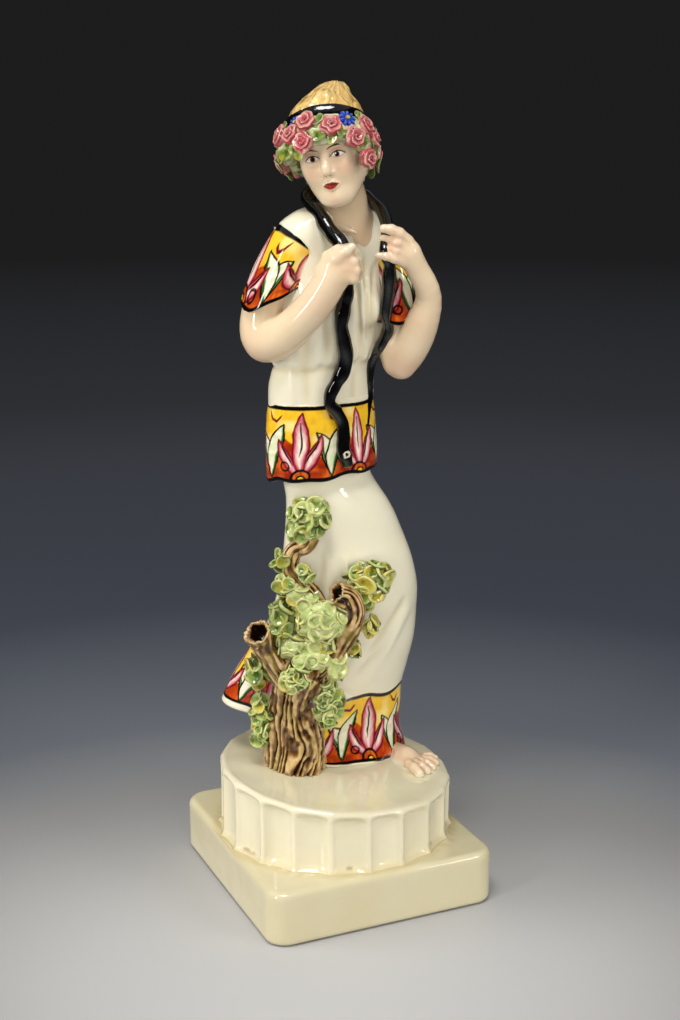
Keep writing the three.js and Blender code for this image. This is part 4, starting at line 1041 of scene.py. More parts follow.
def left_hand(F, d):
    palm = F.egg((30.6, -13.2, 308.6), (7.4, 3.8, 6.0), rot((0.72, 0, -0.69), (0.69, 0, 0.72)))
    d = smin(d, palm, 4)
    d = smin(d, chain(F, [(32.2, -14.0, 312.6, 2.8), (28.4, -16.0, 316.1, 2.5), (25.0, -17.0, 317.8, 2.25), (21.8, -17.3, 318.3, 1.95)], 1), 1.2)
    d = smin(d, chain(F, [(30.6, -14.6, 309.8, 2.7), (27.6, -16.4, 312.0, 2.2), (25.6, -14.8, 312.8, 1.9), (21.6, -12.4, 313.4, 1.7)], 1), 1.0)
    d = smin(d, chain(F, [(30.0, -14.8, 306.8, 2.6), (27.0, -16.6, 308.4, 2.1), (24.6, -15.2, 309.2, 1.8), (21.0, -12.4, 309.6, 1.6)], 1), 1.0)
    d = smin(d, chain(F, [(30.4, -14.4, 303.6, 2.7), (26.4, -16.8, 305.2, 2.1), (22.6, -17.6, 306.2, 1.7), (19.0, -17.4, 306.6, 1.35)], 1), 1.2)
    return d


def rot(x, z):
    """Rows: the local axes x, y, z of a turned shape, from its x and z directions."""
    x, z = norm(x), norm(z)
    y = np.cross(z, x)
    return np.array([x, norm(y), z])


RIGHT_ARM = [[-27.5, -2, 292, 8.8], [-31.6, -3.2, 281, 9.1], [-32.8, -5.2, 270.6, 9.2], [-31.0, -7.8, 266.9, 9.1], [-24.6, -11.2, 268.8, 8.5], [-14.6, -15.6, 278.0, 7.5], [-6.4, -17.8, 288.0, 7.1], [-1.2, -18.5, 296.5, 6.8]]
LEFT_ARM = [[26.6, 9.5, 286, 8.2], [27.6, 7.5, 272, 8.2], [28.2, 5.2, 261, 7.8], [29.7, 2.6, 253.0, 5.7], [32.8, 0.8, 258.8, 7.3], [37.2, -1.6, 268.0, 7.5], [40.2, -4.0, 276.6, 6.7], [42.4, -6.2, 285, 5.3], [41.0, -8.6, 292.0, 4.9], [37.0, -10.6, 299.4, 4.7], [33.4, -12.6, 306.2, 4.7]]


def foot():
    F = Field((12, -14, 50), (56, 44, 74), 0.42)
    d = F.egg((25, 24, 55.5), (7, 9, 5))
    d = smin(d, chain(F, [(29, 20, 55.4, 4.6), (35.2, 11.5, 55.2, 4.8), (39.4, 4.6, 54.2, 3.9)], 2), 4)
    d = smin(d, chain(F, [(33.5, 14, 54.8, 4.6), (41.5, 9, 53.4, 3.7)], 2), 4)
    # low mound of clay that carries the foot
    mound = F.egg((34, 7, 51.6), (16, 15, 3.6))
    d = smin(d, mound, 4)
    for (bx, by, tx, ty, r) in ((36.2, 0.6, 41.0, -7.2, 2.4), (39.6, 3.0, 45.0, -3.2, 1.95), (42.2, 5.8, 48.0, 1.6, 1.8), (43.8, 9.0, 49.8, 7.2, 1.65), (44.4, 12.4, 49.8, 13.2, 1.5)):
        zb = DTOP + DSL * bx
        d = smin(d, chain(F, [(bx, by, zb + 2.4, r * 1.05), ((bx + tx) / 2, (by + ty) / 2, zb + 2.3, r * 0.98), (tx, ty, zb + 0.8, r)], 1), 0.8)
    d = smax(d, -(F.Z - (DTOP + DSL * F.X - 2.0)) + 0 * F.Y, 0.5)
    V, q, N, h = meshed(F, d)
    lift = V[:, 2] - (DTOP + DSL * V[:, 0])
    col = skin_paint(V, h, (((40, -2, 55), 5, 0.4), ((46, 6, 55), 6, 0.4), ((34, 14, 58), 8, 0.25)))
    col = mix(C["ivory"], col, sstep(0.2, 2.2, lift + 0.6 * fbm(V, 6, 4)))
    make("left_foot_shape", V, q, None, col, M["skin"], ("left_foot",))


skirt()
tunic_border()
sleeve("right_sleeve_border", SLEEVE_R, START_R, 36.4, hem_r, 5, "right_sleeve", 6.0)
sleeve("left_sleeve_border", SLEEVE_L, START_L, 41.0, lambda dirs: -1.0 * dirs[:, 1], 8, "left_sleeve", 15.0)
blouse()
neck()
arm("right_arm_shape", "right_arm", RIGHT_ARM, right_hand, (((-33, -6, 264), 9, 0.35), ((6, -22, 302), 6, 0.3)), ((-45, -28, 252), (16, 8, 316)))
arm("left_arm_shape", "left_arm", LEFT_ARM, left_hand, (((33, 0, 256), 8, 0.5), ((26, -17, 312), 6, 0.3)), ((14, -24, 246), (52, 20, 324)))
foot()

# ------------------------------------------------------------------ head
HEAD = np.array((-0.6, 1.8, 349.8))
_t = math.radians(-13)
HZ = norm((-0.24, 0.05, 1))
_back = np.array((-math.sin(_t), math.cos(_t), 0))
HY = norm(_back - (_back @ HZ) * HZ)
HX = np.cross(HY, HZ)


def head():
    F = Field((-18, -24, -25), (18, 24, 23), 0.27)
    m = lambda f: smin(f(-1), f(1), 0.6)
    d = F.egg((0, 2.5, 4), (15.2, 18.6, 17.2))
    d = smin(d, F.egg((0, -5.2, -4.8), (12.0, 12.0, 16.6)), 5)
    d = smin(d, F.egg((0, -7.5, 8), (11, 9.4, 9)), 5)
    d = smin(d, m(lambda s: F.egg((s * 6.0, -9.6, -6.2), (5.6, 5.6, 6.4))), 4)
    d = smin(d, m(lambda s: F.rod((s * 10.2, -0.5, -8.5), (s * 4.6, -9.6, -17.2), 4.0, 3.6)), 5)
    d = smin(d, F.ball((0, -12.0, -18.0), 3.9), 4)
    d = smax(d, -m(lambda s: F.egg((s * 5.4, -18.4, -0.9), (4.3, 3.6, 2.7))), 3.2)
    d = smin(d, m(lambda s: F.rod((s * 2.8, -15.6, 3.0), (s * 8.2, -13.4, 3.4), 1.0, 0.9)), 3.0)
    d = smin(d, m(lambda s: F.egg((s * 5.4, -12.9, -1.0), (3.6, 2.9, 2.1))), 0.9)
    nose = chain(F, [(0, -15.2, 2.6, 1.35), (0, -16.6, -1.6, 1.35), (0, -18.3, -5.4, 1.55), (0, -18.5, -6.9, 1.75)], 1.5)
    d = smin(d, nose, 1.9)
    d = smin(d, m(lambda s: F.ball((s * 1.95, -16.7, -7.5), 1.15)), 1.1)
    d = smax(d, -m(lambda s: F.ball((s * 0.95, -17.6, -8.9), 0.42)), 0.5)
    d = smin(d, chain(F, [(-3.5, -15.2, -12.4, 0.5), (-1.3, -16.9, -11.5, 0.85), (0, -17.0, -11.9, 0.8), (1.3, -16.9, -11.5, 0.85), (3.5, -15.2, -12.4, 0.5)], 0.8), 1.1)
    d = smin(d, chain(F, [(-2.6, -15.5, -13.3, 0.6), (0, -16.5, -13.7, 1.15), (2.6, -15.5, -13.3, 0.6)], 0.8), 1.1)
    d = smax(d, -chain(F, [(-3.7, -16.3, -12.5, 0.2), (0, -18.2, -12.6, 0.25), (3.7, -16.3, -12.5, 0.2)], 0.4), 0.5)
    V, q, N, h = meshed(F, d)
    x, y, z = V.T
    ax = np.abs(x)
    face = (y < -6) & (N[:, 1] < 0.1)
    col = np.broadcast_to(C["skin"], V.shape).copy()
    col = mix(col, C["robe"], 0.12)
    # redder in the hollows: painted shade
    col = mix(col, C["skin_red"], np.clip(0.06 + 0.12 * fbm(V, 9, 6) + 0.35 * sstep(0.05, 0.2, h), 0, 0.6))
    col = mix(col, srgb("e58a6c"), 0.26 * np.exp(-(((ax - 7.4) / 4.0) ** 2 + ((z + 6.4) / 3.8) ** 2)) * face)
    col = mix(col, C["skin_red"], 0.35 * np.exp(-((x / 2.4) ** 2 + ((z + 18.4) / 2) ** 2)) * face)
    col = mix(col, srgb("c98a63"), 0.45 * np.exp(-(((ax - 5.5) / 3.6) ** 2 + ((z - 1.5) / 0.9) ** 2)) * face)

    # eyes: lid curves over a pale almond with a dark iris
    u = np.clip((ax - 5.4) / 3.0, -1.3, 1.3)
    top = -1.0 + 1.35 * (1 - u * u) + 0.12 * u
    low = -1.0 - 0.95 * (1 - u * u)
    inside = np.minimum(top - z, z - low)
    inside = np.where(np.abs(u) < 1, inside, -1.0) * face - (~face) * 1.0
    col = mix(col, srgb("efe6d6"), sstep(-0.12, 0.16, inside))
    ir = np.hypot(ax - 5.3, (z + 0.85) / 1.05)
    iris = sstep(1.22, 1.0, ir) * sstep(-0.05, 0.12, inside)
    col = mix(col, srgb("4a2c1c"), iris)
    col = mix(col, C["black"], sstep(0.75, 0.5, ir) * sstep(-0.05, 0.12, inside))
    line = lambda c, w: sstep(w + 0.16, w - 0.16, np.abs(z - c))
    on = sstep(1.22, 1.02, np.abs(u)) * face
    col = mix(col, srgb("2a130c"), line(top + 0.1, 0.3) * on)
    col = mix(col, srgb("9a5a44"), 0.65 * line(low - 0.05, 0.16) * on)
    col = mix(col, srgb("b06a4e"), 0.55 * line(top + 1.05, 0.16) * on)
    # brows
    ub = np.clip((ax - 5.9) / 4.0, -1, 1)
    br = 1.9 + 1.1 * (1 - (ub - 0.15) ** 2) - 0.25 * ub
    wb = 0.40 * np.clip(1 - 0.55 * np.abs(ub), 0.2, 1)
    col = mix(col, srgb("3a1d10"), sstep(wb + 0.16, wb - 0.14, np.abs(z - br)) * (np.abs(ub) < 0.98) * face)
    # lips
    ul = x / 3.7
    au = np.clip(np.abs(ul), 0, 1)
    lt = -12.5 + 1.45 * (1 - au**1.6) - 0.35 * np.exp(-((x / 0.7) ** 2))
    ll = -12.5 - 1.75 * (1 - au**2)
    il = np.where(np.abs(ul) < 1, np.minimum(lt - z, z - ll), -1)
    col = mix(col, mix(srgb("9c2a24"), srgb("741819"), sstep(-0.3, 0.5, z + 12.5)), sstep(-0.12, 0.22, il) * face)
    col = mix(col, srgb("5e0f12"), 0.8 * line(-12.5 + 0.15 * au, 0.13) * (np.abs(ul) < 1) * face)
    col = mix(col, srgb("a8593f"), sstep(0.62, 0.4, np.hypot(ax - 0.95, (z + 8.7) / 0.7)) * 0.6 * face)
    # hair drawn back behind the face
    hair = sstep(-1.2, 0.4, y - 1.5 - 0.25 * z)
    strand = 0.5 + 0.5 * np.sin(np.arctan2(x, z + 6) * 34 + 2.2 * noise3(V, 5, 3))
    hc = mix(C["hair"], C["hair_dark"], np.clip(0.7 * sstep(0.55, 0.95, strand) + 0.15, 0, 1))
    col = mix(col, hc, hair)
    V = V + N * (hair * (0.25 - 0.35 * sstep(0.5, 1, strand)))[:, None]
    V[:, 0] = V[:, 0] * (1 - 0.10 * sstep(0, -17, V[:, 2]))
    P = HEAD + 1.06 * (V[:, :1] * HX + V[:, 1:2] * HY + V[:, 2:] * HZ)
    make("head_shape", P, q, None, col, M["skin"], ("head",))


RUP = norm((-0.10, 0.45, 0.9))
RX = norm(np.array((1.0, 0, 0)) - RUP[0] * RUP)
RY = np.cross(RUP, RX)
RC = np.array((-4.0, 4.2, 360.8))


def ringp(r, a, h):
    r, a, h = np.broadcast_arrays(np.asarray(r, float), a, h)
    return RC + RUP * h[..., None] + RX * (r * np.cos(a))[..., None] + RY * (r * np.sin(a))[..., None]


def turned(name, rows, n, shape, colour, mat, node, closed=True, shift=None):
    rows = np.asarray(rows, float)
    a = np.linspace(0, 2 * pi, n, endpoint=False)
    R, H = rows[:, 0][:, None], rows[:, 1][:, None]
    dr, dh = shape(a[None], R, H)
    P = ringp(R + dr, np.broadcast_to(a, (len(rows), n)), H + dh)
    if shift is not None:
        P = P + np.asarray(shift)[:, None, None] * RX
    V, q, t = wrap(P, closed, closed)
    if not closed:
        i = np.arange(n)
        last = (len(rows) - 1) * n
        q = np.concatenate([q, np.stack([last + i, last + (i + 1) % n, (i + 1) % n, i], -1)])
    q, t = facing_out(V - V.mean(0), q, t)
    A = np.concatenate([np.broadcast_to(a, P.shape[:2]).ravel(), np.zeros(len(V) - P.shape[0] * n)])
    HH = np.concatenate([np.broadcast_to(H, P.shape[:2]).ravel(), rows[[0, -1], 1][: len(V) - P.shape[0] * n]])
    return make(name, V, q, t, colour(V, A, HH), mat, node)


def hair():
    prof = catmull([[16.4, -6, 0], [17.2, -1, 0], [16.9, 3, 0.2], [15.7, 6.8, 0.8], [13.5, 10.2, 1.6], [11.0, 13.2, 2.6], [8.9, 15.4, 3.6], [7.6, 16.9, 4.4], [6.0, 18.3, 5.0], [3.8, 19.3, 5.4], [1.4, 19.7, 5.6]], 120)
    K = 26

    def lines(a, h):
        w = noise3(np.stack(np.broadcast_arrays(np.cos(a) * 9, np.sin(a) * 9, h * 0.8 + 0 * a), -1), 2.6, 7)
        return np.abs(np.sin(a * K / 2 + 1.5 * w + 0.5 * np.sin(h * 0.6 + a * 3)))

    def shape(a, R, H):
        g = lines(a, H)
        q = np.stack(np.broadcast_arrays(np.cos(a) * 16, np.sin(a) * 16, H + 0 * a), -1)
        lump = noise3(q, 4.6, 17) + 0.5 * noise3(q, 2.2, 18)
        on = sstep(-0.35, 0.25, noise3(q, 4.0, 19))
        amp = 0.6 * np.clip(R / 12, 0.25, 1)
        return amp * (g**0.7 - 0.8) * on + 0.75 * lump * np.clip(R / 12, 0.35, 1), 0.0 * a * H

    def colour(V, A, H):
        g = lines(A, H)
        n = noise3(V, 2.2, 33)
        # paler along the raised strands: painted highlight
        c = mix(C["hair"], srgb("f7e0a0"), np.clip(0.35 * sstep(0.55, 1, g) + 0.5 * fbm(V, 6, 3), 0, 0.8))
        return mix(c, C["hair_dark"], 0.75 * sstep(0.40, 0.12, g) * sstep(0.05, 0.35, n) * sstep(15.5, 12, np.abs(H + 2)))

    turned("hair_dome", prof[:, :2], 320, shape, colour, M["hair"], ("hair_crown",), shift=prof[:, 2])


def ribbon():
    rows = [(16.6, -2.6), (17.2, -2.9), (18.0, -2.6), (18.3, -1.6), (18.4, 0), (18.2, 1.4), (17.9, 2.4), (17.2, 2.75), (16.4, 2.3), (16.2, 0)]
    turned("hair_band", rows, 220, lambda a, R, H: (0.18 * np.sin(5 * a + 1) + 0.1 * np.sin(9 * a) + 0 * R, 0.25 * np.sin(4 * a + 2) + 0 * H), lambda V, A, H: np.broadcast_to(C["black"], V.shape), M["black"], ("hair_ribbon",), closed=False)


LOBE = ((0.15, -0.08), (0.32, -0.07), (0.48, -0.03), (0.60, 0.04), (0.70, 0.12), (0.79, 0.20), (0.87, 0.25), (0.95, 0.26), (1.03, 0.20), (1.08, 0.07), (1.06, -0.10), (0.94, -0.30), (0.72, -0.44), (0.36, -0.52))
LOBE_F = (0.2, 0.38, 0.54, 0.64, 0.73, 0.82, 0.90, 0.97, 1.03, 1.10, 1.3, 1.5, 1.7, 1.9)


def lobe_template(cols=20):
    return np.linspace(0, 2 * pi, cols, endpoint=False), np.array(LOBE)


def lobes(centres, normals, sizes, spins, seed, cup=1.0, point=0.0, odd=1.0):
    """Cupped leaf lobes: returns verts, quads, tris, row fraction (0 centre, 1 rim) and lobe number."""
    rng = np.random.default_rng(seed)
    a, rows = lobe_template()
    nr, nc = len(rows), len(a)
    K = nr * nc
    V, Q, T, fr, ids = [], [], [], [], []
    idx = np.arange(K).reshape(nr, nc)
    q = np.stack([idx[:-1], np.roll(idx[:-1], -1, 1), np.roll(idx[1:], -1, 1), idx[1:]], -1).reshape(-1, 4)
    t0 = np.stack([np.roll(idx[0], -1), idx[0], np.full(nc, K)], -1)
    t1 = np.stack([idx[-1], np.roll(idx[-1], -1), np.full(nc, K + 1)], -1)
    tri = np.concatenate([t0, t1])
    frow = np.repeat(np.array(LOBE_F), nc)
    for k, (c, n, s, sp) in enumerate(zip(centres, normals, sizes, spins)):
        n = norm(n)
        ref = np.array((0, 0, 1.0)) if abs(n[2]) < 0.9 else np.array((1.0, 0, 0))
        x = norm(np.cross(ref, n))
        y = np.cross(n, x)
        x, y = x * math.cos(sp) + y * math.sin(sp), y * math.cos(sp) - x * math.sin(sp)
        w = rng.uniform(-1, 1, 12)
        R = 1 + odd * (0.15 * w[0] * np.cos(2 * a + w[1] * 3) + 0.11 * w[2] * np.cos(3 * a + w[3] * 3) + 0.07 * w[4] * np.cos(5 * a + w[5] * 3)) + point * np.maximum(0, np.cos(a)) ** 6
        tilt = odd * (0.22 * w[6] * np.cos(a + w[7] * 3) + 0.16 * w[1] * np.cos(2 * a + w[2] * 3) + 0.08 * w[8] * np.cos(4 * a + w[9] * 3))
        r = rows[:, :1] * R[None]
        deep = cup * (1 + 0.3 * w[3])
        z = np.where(rows[:, 1:2] > 0, rows[:, 1:2] * deep, rows[:, 1:2]) + tilt[None] * rows[:, :1] ** 2
        off = 0.10 * np.array((w[10], w[11])) * s
        P = c + s * (r[..., None] * (np.cos(a)[:, None] * x + np.sin(a)[:, None] * y)[None] + z[..., None] * n)
        P = P + (1 - np.clip(rows[:, :1], 0, 1))[..., None] * (off[0] * x + off[1] * y)
        V += [P.reshape(-1, 3), (c - s * 0.12 * n + off[0] * x + off[1] * y)[None], (c - s * 0.36 * n)[None]]
        Q.append(q + k * (K + 2))
        T.append(tri + k * (K + 2))
        fr += [frow, [0.0, 2.0]]
        ids.append(np.full(K + 2, k))
    return np.concatenate(V), np.concatenate(Q), np.concatenate(T), np.concatenate(fr), np.concatenate(ids)


def lobe_paint(V, fr, ids, seed, yellow=0.0, dark=0.0, pale=0.0):
    rng = np.random.default_rng(seed + 7)
    n = ids.max() + 1
    a, b, y = rng.uniform(0, 1, n)[ids], rng.uniform(0, 1, n)[ids], (rng.uniform(0, 1, n) < yellow)[ids]
    base = mix(C["leaf"], C["leaf_pale"], np.clip(0.05 + 0.80 * a**1.3 + pale, 0, 1))
    base = mix(base, srgb("6f9a48"), 0.6 * sstep(0.55, 0.9, b) * (1 - pale))
    base = mix(base, C["leaf_yellow"], 0.75 * y)
    deep = mix(C["leaf_dark"], C["leaf"], np.clip(0.35 + 0.6 * b + pale, 0, 1))
    deep = mix(deep, C["leaf_yellow"] * 0.8, 0.6 * y)
    n1 = noise3(V, 2.0, seed)
    c = mix(deep, base, sstep(0.10, 0.85, fr + 0.45 * n1))
    c = mix(c, C["leaf_pale"], sstep(0.72, 0.95, fr + 0.25 * n1) * (fr < 1.12) * 0.55)
    # dark olive on the outer wall and underside of each lobe: painted shade
    c = mix(c, srgb("4a4a1c"), sstep(1.08, 1.35, fr) * 0.95)
    c = mix(c, srgb("3d4d18"), 0.75 * sstep(0.22, 0.5, noise3(V, 2.2, seed + 3)) * (fr < 1.0) * (1 - 0.5 * pale))
    c = mix(c, C["leaf_yellow"], 0.45 * sstep(0.15, 0.5, fbm(V, 6.0, seed + 13)) * (fr < 1.12))
    return mix(c, C["leaf_dark"], dark) * np.array([0.95, 0.925, 0.84])


def flower_frame(deg, h, reach):
    a = math.radians(deg)
    out = RX * math.cos(a) + RY * math.sin(a)
    return RC + RUP * h + out * reach, norm(out + 0.25 * RUP * (1 if h > -12 else -1)), out


def rose(name, deg, h, r, reach, seed):
    rng = np.random.default_rng(seed)
    c, n, out = flower_frame(deg, h, reach - 1.2)
    x = norm(np.cross(RUP, n))
    y = np.cross(n, x)
    nr, nc = 40, 72
    rho = np.linspace(0.02, 1, nr)[:, None]
    a = np.linspace(0, 2 * pi, nc, endpoint=False)[None]
    ph = rng.uniform(0, 1)
    w = rng.uniform(-1, 1, 6)
    turn = (rho**0.9 * 2.6 - a / (2 * pi) + (0.12 + 0.05 * w[0]) * np.sin(3 * a + ph * 6) * rho + 0.06 * np.sin(5 * a + w[1] * 3) * rho + ph)
    f = turn - np.floor(turn)
    edge = np.clip(f / 0.76, 0, 1) ** 1.4 * (1 - sstep(0.80, 1.0, f))
    dome = 0.58 * np.sqrt(np.clip(1 - (rho * 0.93) ** 2.6, 0, 1))
    z = r * (dome + (0.20 * edge - 0.08) * sstep(0.0, 0.18, rho) * (1 - 0.25 * rho))
    outline = 1 + 0.07 * np.sin((4 + (seed % 2)) * a + ph * 9) + 0.04 * np.sin(7 * a + w[2] * 3)
    R = r * rho * outline * (1 + 0.03 * edge)
    P = c + R[..., None] * (np.cos(a)[..., None] * x + np.sin(a)[..., None] * y) + z[..., None] * n
    skirt = c + (r * 0.86 * outline)[..., None] * (np.cos(a)[..., None] * x + np.sin(a)[..., None] * y) - 0.45 * r * n
    P = np.concatenate([P, skirt], 0)
    V, q, t = wrap(P)
    q, t = facing_out(V - V.mean(0), q, t)
    rr = np.broadcast_to(rho, (nr, nc))
    col = mix(C["rose"], C["rose_pale"], np.clip(0.92 * edge**2.0, 0, 1))
    groove = sstep(0.82, 0.92, f) + sstep(0.26, 0.06, f)
    col = mix(col, C["rose_dark"], np.clip(groove * (1.0 - 0.25 * rr), 0, 1))
    col = mix(col, C["rose_dark"], sstep(0.34, 0.08, rr) * 0.85)
    col = mix(col, srgb("b8424e"), 0.65 * sstep(0.0, 0.5, noise3(P[:nr], 1.8, seed)))
    # the back of the flower is painted a darker rose: painted shade
    full = np.concatenate([col.reshape(-1, 3), np.broadcast_to(C["rose"] * 0.6, (nc, 3)), C["rose_dark"][None], C["rose_dark"][None]])
    make(name, V, q, t, full, M["rose"], (name.replace("_bloom", ""),))


def daisy(name, deg, h, r, reach, seed):
    c, n, out = flower_frame(deg, h, reach - 0.9)
    x = norm(np.cross(RUP, n))
    y = np.cross(n, x)
    nr, nc = 26, 96
    rho = np.linspace(0.02, 1, nr)[:, None]
    a = np.linspace(0, 2 * pi, nc, endpoint=False)[None]
    k = 9
    pet = np.abs(np.cos(a * k / 2 + seed))
    outline = 0.72 + 0.30 * pet**0.6
    grooves = (1 - pet**0.5) * sstep(0.25, 0.5, rho)
    z = r * (0.34 + 0.10 * np.sin(rho * 2.2) - 0.20 * grooves - 0.22 * sstep(0.8, 1.0, rho) + 0.16 * sstep(0.3, 0.2, rho))
    P = c + (r * rho * outline)[..., None] * (np.cos(a)[..., None] * x + np.sin(a)[..., None] * y) + z[..., None] * n
    skirt = c + (r * 0.8 * outline)[..., None] * (np.cos(a)[..., None] * x + np.sin(a)[..., None] * y) - 0.5 * r * n
    P = np.concatenate([P, skirt], 0)
    V, q, t = wrap(P)
    q, t = facing_out(V - V.mean(0), q, t)
    rr = np.broadcast_to(rho, (nr, nc))
    col = mix(C["blue"], C["blue_pale"], np.clip(0.75 * pet**2 * sstep(0.3, 0.8, rr) * (0.5 + 0.5 * np.sin(a * 31)), 0, 0.75))
    col = mix(col, np.array([0.01, 0.015, 0.08]), np.clip(grooves, 0, 1) * 0.8)
    col = mix(col, srgb("b7a23a"), sstep(0.30, 0.24, rr))
    col = mix(col, srgb("2f4a1a"), sstep(0.06, 0.0, np.abs(rr - 0.27)) * 0.9)
    # the back of the flower is painted a darker blue: painted shade
    full = np.concatenate([col.reshape(-1, 3), np.broadcast_to(C["blue"] * 0.6, (nc, 3)), srgb("b7a23a")[None], (C["blue"] * 0.5)[None]])
    make(name, V, q, t, full, M["rose"], (name.replace("_bloom", ""),))


ROSES = [(-114.4, -5.7, 4.6), (-85.7, -9.4, 4.9), (-57.7, -13.9, 4.8), (-39.1, -7.3, 4.6), (-22.3, -11.0, 4.6), (-39.5, -22.3, 4.4), (-120.4, -14.4, 4.6), (-136.7, -9.1, 4.5), (-158.3, -6.4, 4.8),
         (14, -14, 4.8), (50, -11, 4.8), (88, -12, 4.8), (126, -11, 4.8), (162, -12.6, 4.8)]
DAISIES = [(-65, -6.0, 4.0, 21.6), (-129.8, -4.0, 3.2, 21.0), (68, -4.6, 3.8, 21.4)]


LEAF_AT = [(-102.6, -13.4), (-141.9, -13.8), (-132.6, -17.0), (-48.9, -16.6), (-84.8, -14.6), (-154.3, -15.6), (-171, -14.5), (-98, -5.2), (-146, -3.8), (-49, -3.6), (-22, -15.8), (-6, -15.0), (-5, -7.2),
    (30, -7), (32, -18), (68, -12), (70, -18.5), (106, -8), (107, -17), (144, -7), (145, -16.5), (178, -8), (179, -17), (0, -20.0), (-71, -11.5), (-126, -9.5)]


def ring_low(a):
    """Height of the wreath's lower edge for the direction round the head, from its front."""
    d = np.degrees(np.mod(a + pi / 2 + pi, 2 * pi) - pi)
    return np.interp(d, [-180, -135, -90, -62, -40, -15, 15, 40, 62, 90, 135, 180], [-17, -15.6, -14.4, -14.0, -14.0, -14.6, -15.0, -15.6, -18.0, -19.5, -19, -17])


def wreath():
    prof = [(14.6, -18.6), (16.4, -20.2), (18.8, -20.4), (20.6, -18.8), (21.7, -16), (22.0, -12), (21.6, -8), (20.6, -5), (19.2, -3.2), (17.2, -2.4), (15.2, -3.4), (14.6, -8), (14.4, -14)]
    prof = np.concatenate([catmull([(r, h, 0) for r, h in prof], 60)[:, :2]])

    def shape(a, R, H):
        p = np.stack(np.broadcast_arrays(np.cos(a) * 20, np.sin(a) * 20, H + 0 * a), -1)
        b = 0.9 * fbm(p, 6.0, 3) + 0.7 * noise3(p, 2.6, 8)
        k = -ring_low(a) / 20.4
        return b * sstep(15, 18, R), 0.4 * noise3(p, 4, 5) + (H + 3) * (k - 1) * (H < -3)

    def colour(V, A, H):
        c = mix(srgb("dde0b8"), srgb("a4bb74"), sstep(-0.2, 0.5, fbm(V, 3.4, 6)))
        c = mix(c, srgb("3f5a1c"), 0.85 * sstep(0.12, 0.42, fbm(V, 2.6, 16)))
        return mix(c, srgb("c4805a"), 0.40 * sstep(0.25, 0.5, fbm(V, 4, 26)))

    turned("wreath_base", prof, 300, shape, colour, M["leaf"], ("wreath_ring",), closed=False)
    rng = np.random.default_rng(5)
    cen, ns, ss, sp = [], [], [], []
    for d, h in LEAF_AT:
        c, n, out = flower_frame(d, h, 22.0)
        cen.append(c)
        ns.append(n + rng.uniform(-0.25, 0.25, 3)); ss.append(rng.uniform(2.0, 2.8)); sp.append(rng.uniform(0, 2 * pi))
    V, q, t, fr, ids = lobes(cen, ns, ss, sp, 12, cup=0.35, point=0.8, odd=0.9)
    q, t = facing_lobes(V, q, t)
    col = lobe_paint(V, fr, ids, 31, 0.0, 0.35)
    col = mix(col, srgb("2f4a14"), 0.7 * sstep(0.1, 0.45, noise3(V, 1.5, 44)) * (fr < 1.1))
    make("wreath_leaves", V, q, t, col, M["leaf"], ("wreath_ring",))
    for i, (d, h, r) in enumerate(ROSES):
        rose("rose_%02d_bloom" % (i + 1), d, h, r, 22.4, 60 + i)
    for i, (d, h, r, reach) in enumerate(DAISIES):
        daisy("daisy_%d_bloom" % (i + 1), d, h, r, reach, i)


def facing_lobes(V, q, t):
    K = len(LOBE) * 26 + 2
    v = V[:K]
    m = q[(q < K).all(1)]
    q1, _ = facing_out(v - v.mean(0), m, t[(t < K).all(1)])
    return (q, t) if (q1[0] == m[0]).all() else (q[:, ::-1], t[:, ::-1])


# ------------------------------------------------------------------ snake
def front(x, z, off):
    r = TUNIC(z)
    cx, hx = (r[0] + r[1]) / 2, (r[1] - r[0]) / 2
    def y(xx):
        c = np.clip((xx - cx) / hx, -0.97, 0.97)
        return r[2] - r[3] * math.sqrt(1 - c * c) + r[4] * hx * c
    g = (y(x + 0.3) - y(x - 0.3)) / 0.6
    n = norm((g, -1.0, 0))
    return [x + n[0] * off * 0.0, y(x) - off * (-n[1]), z]


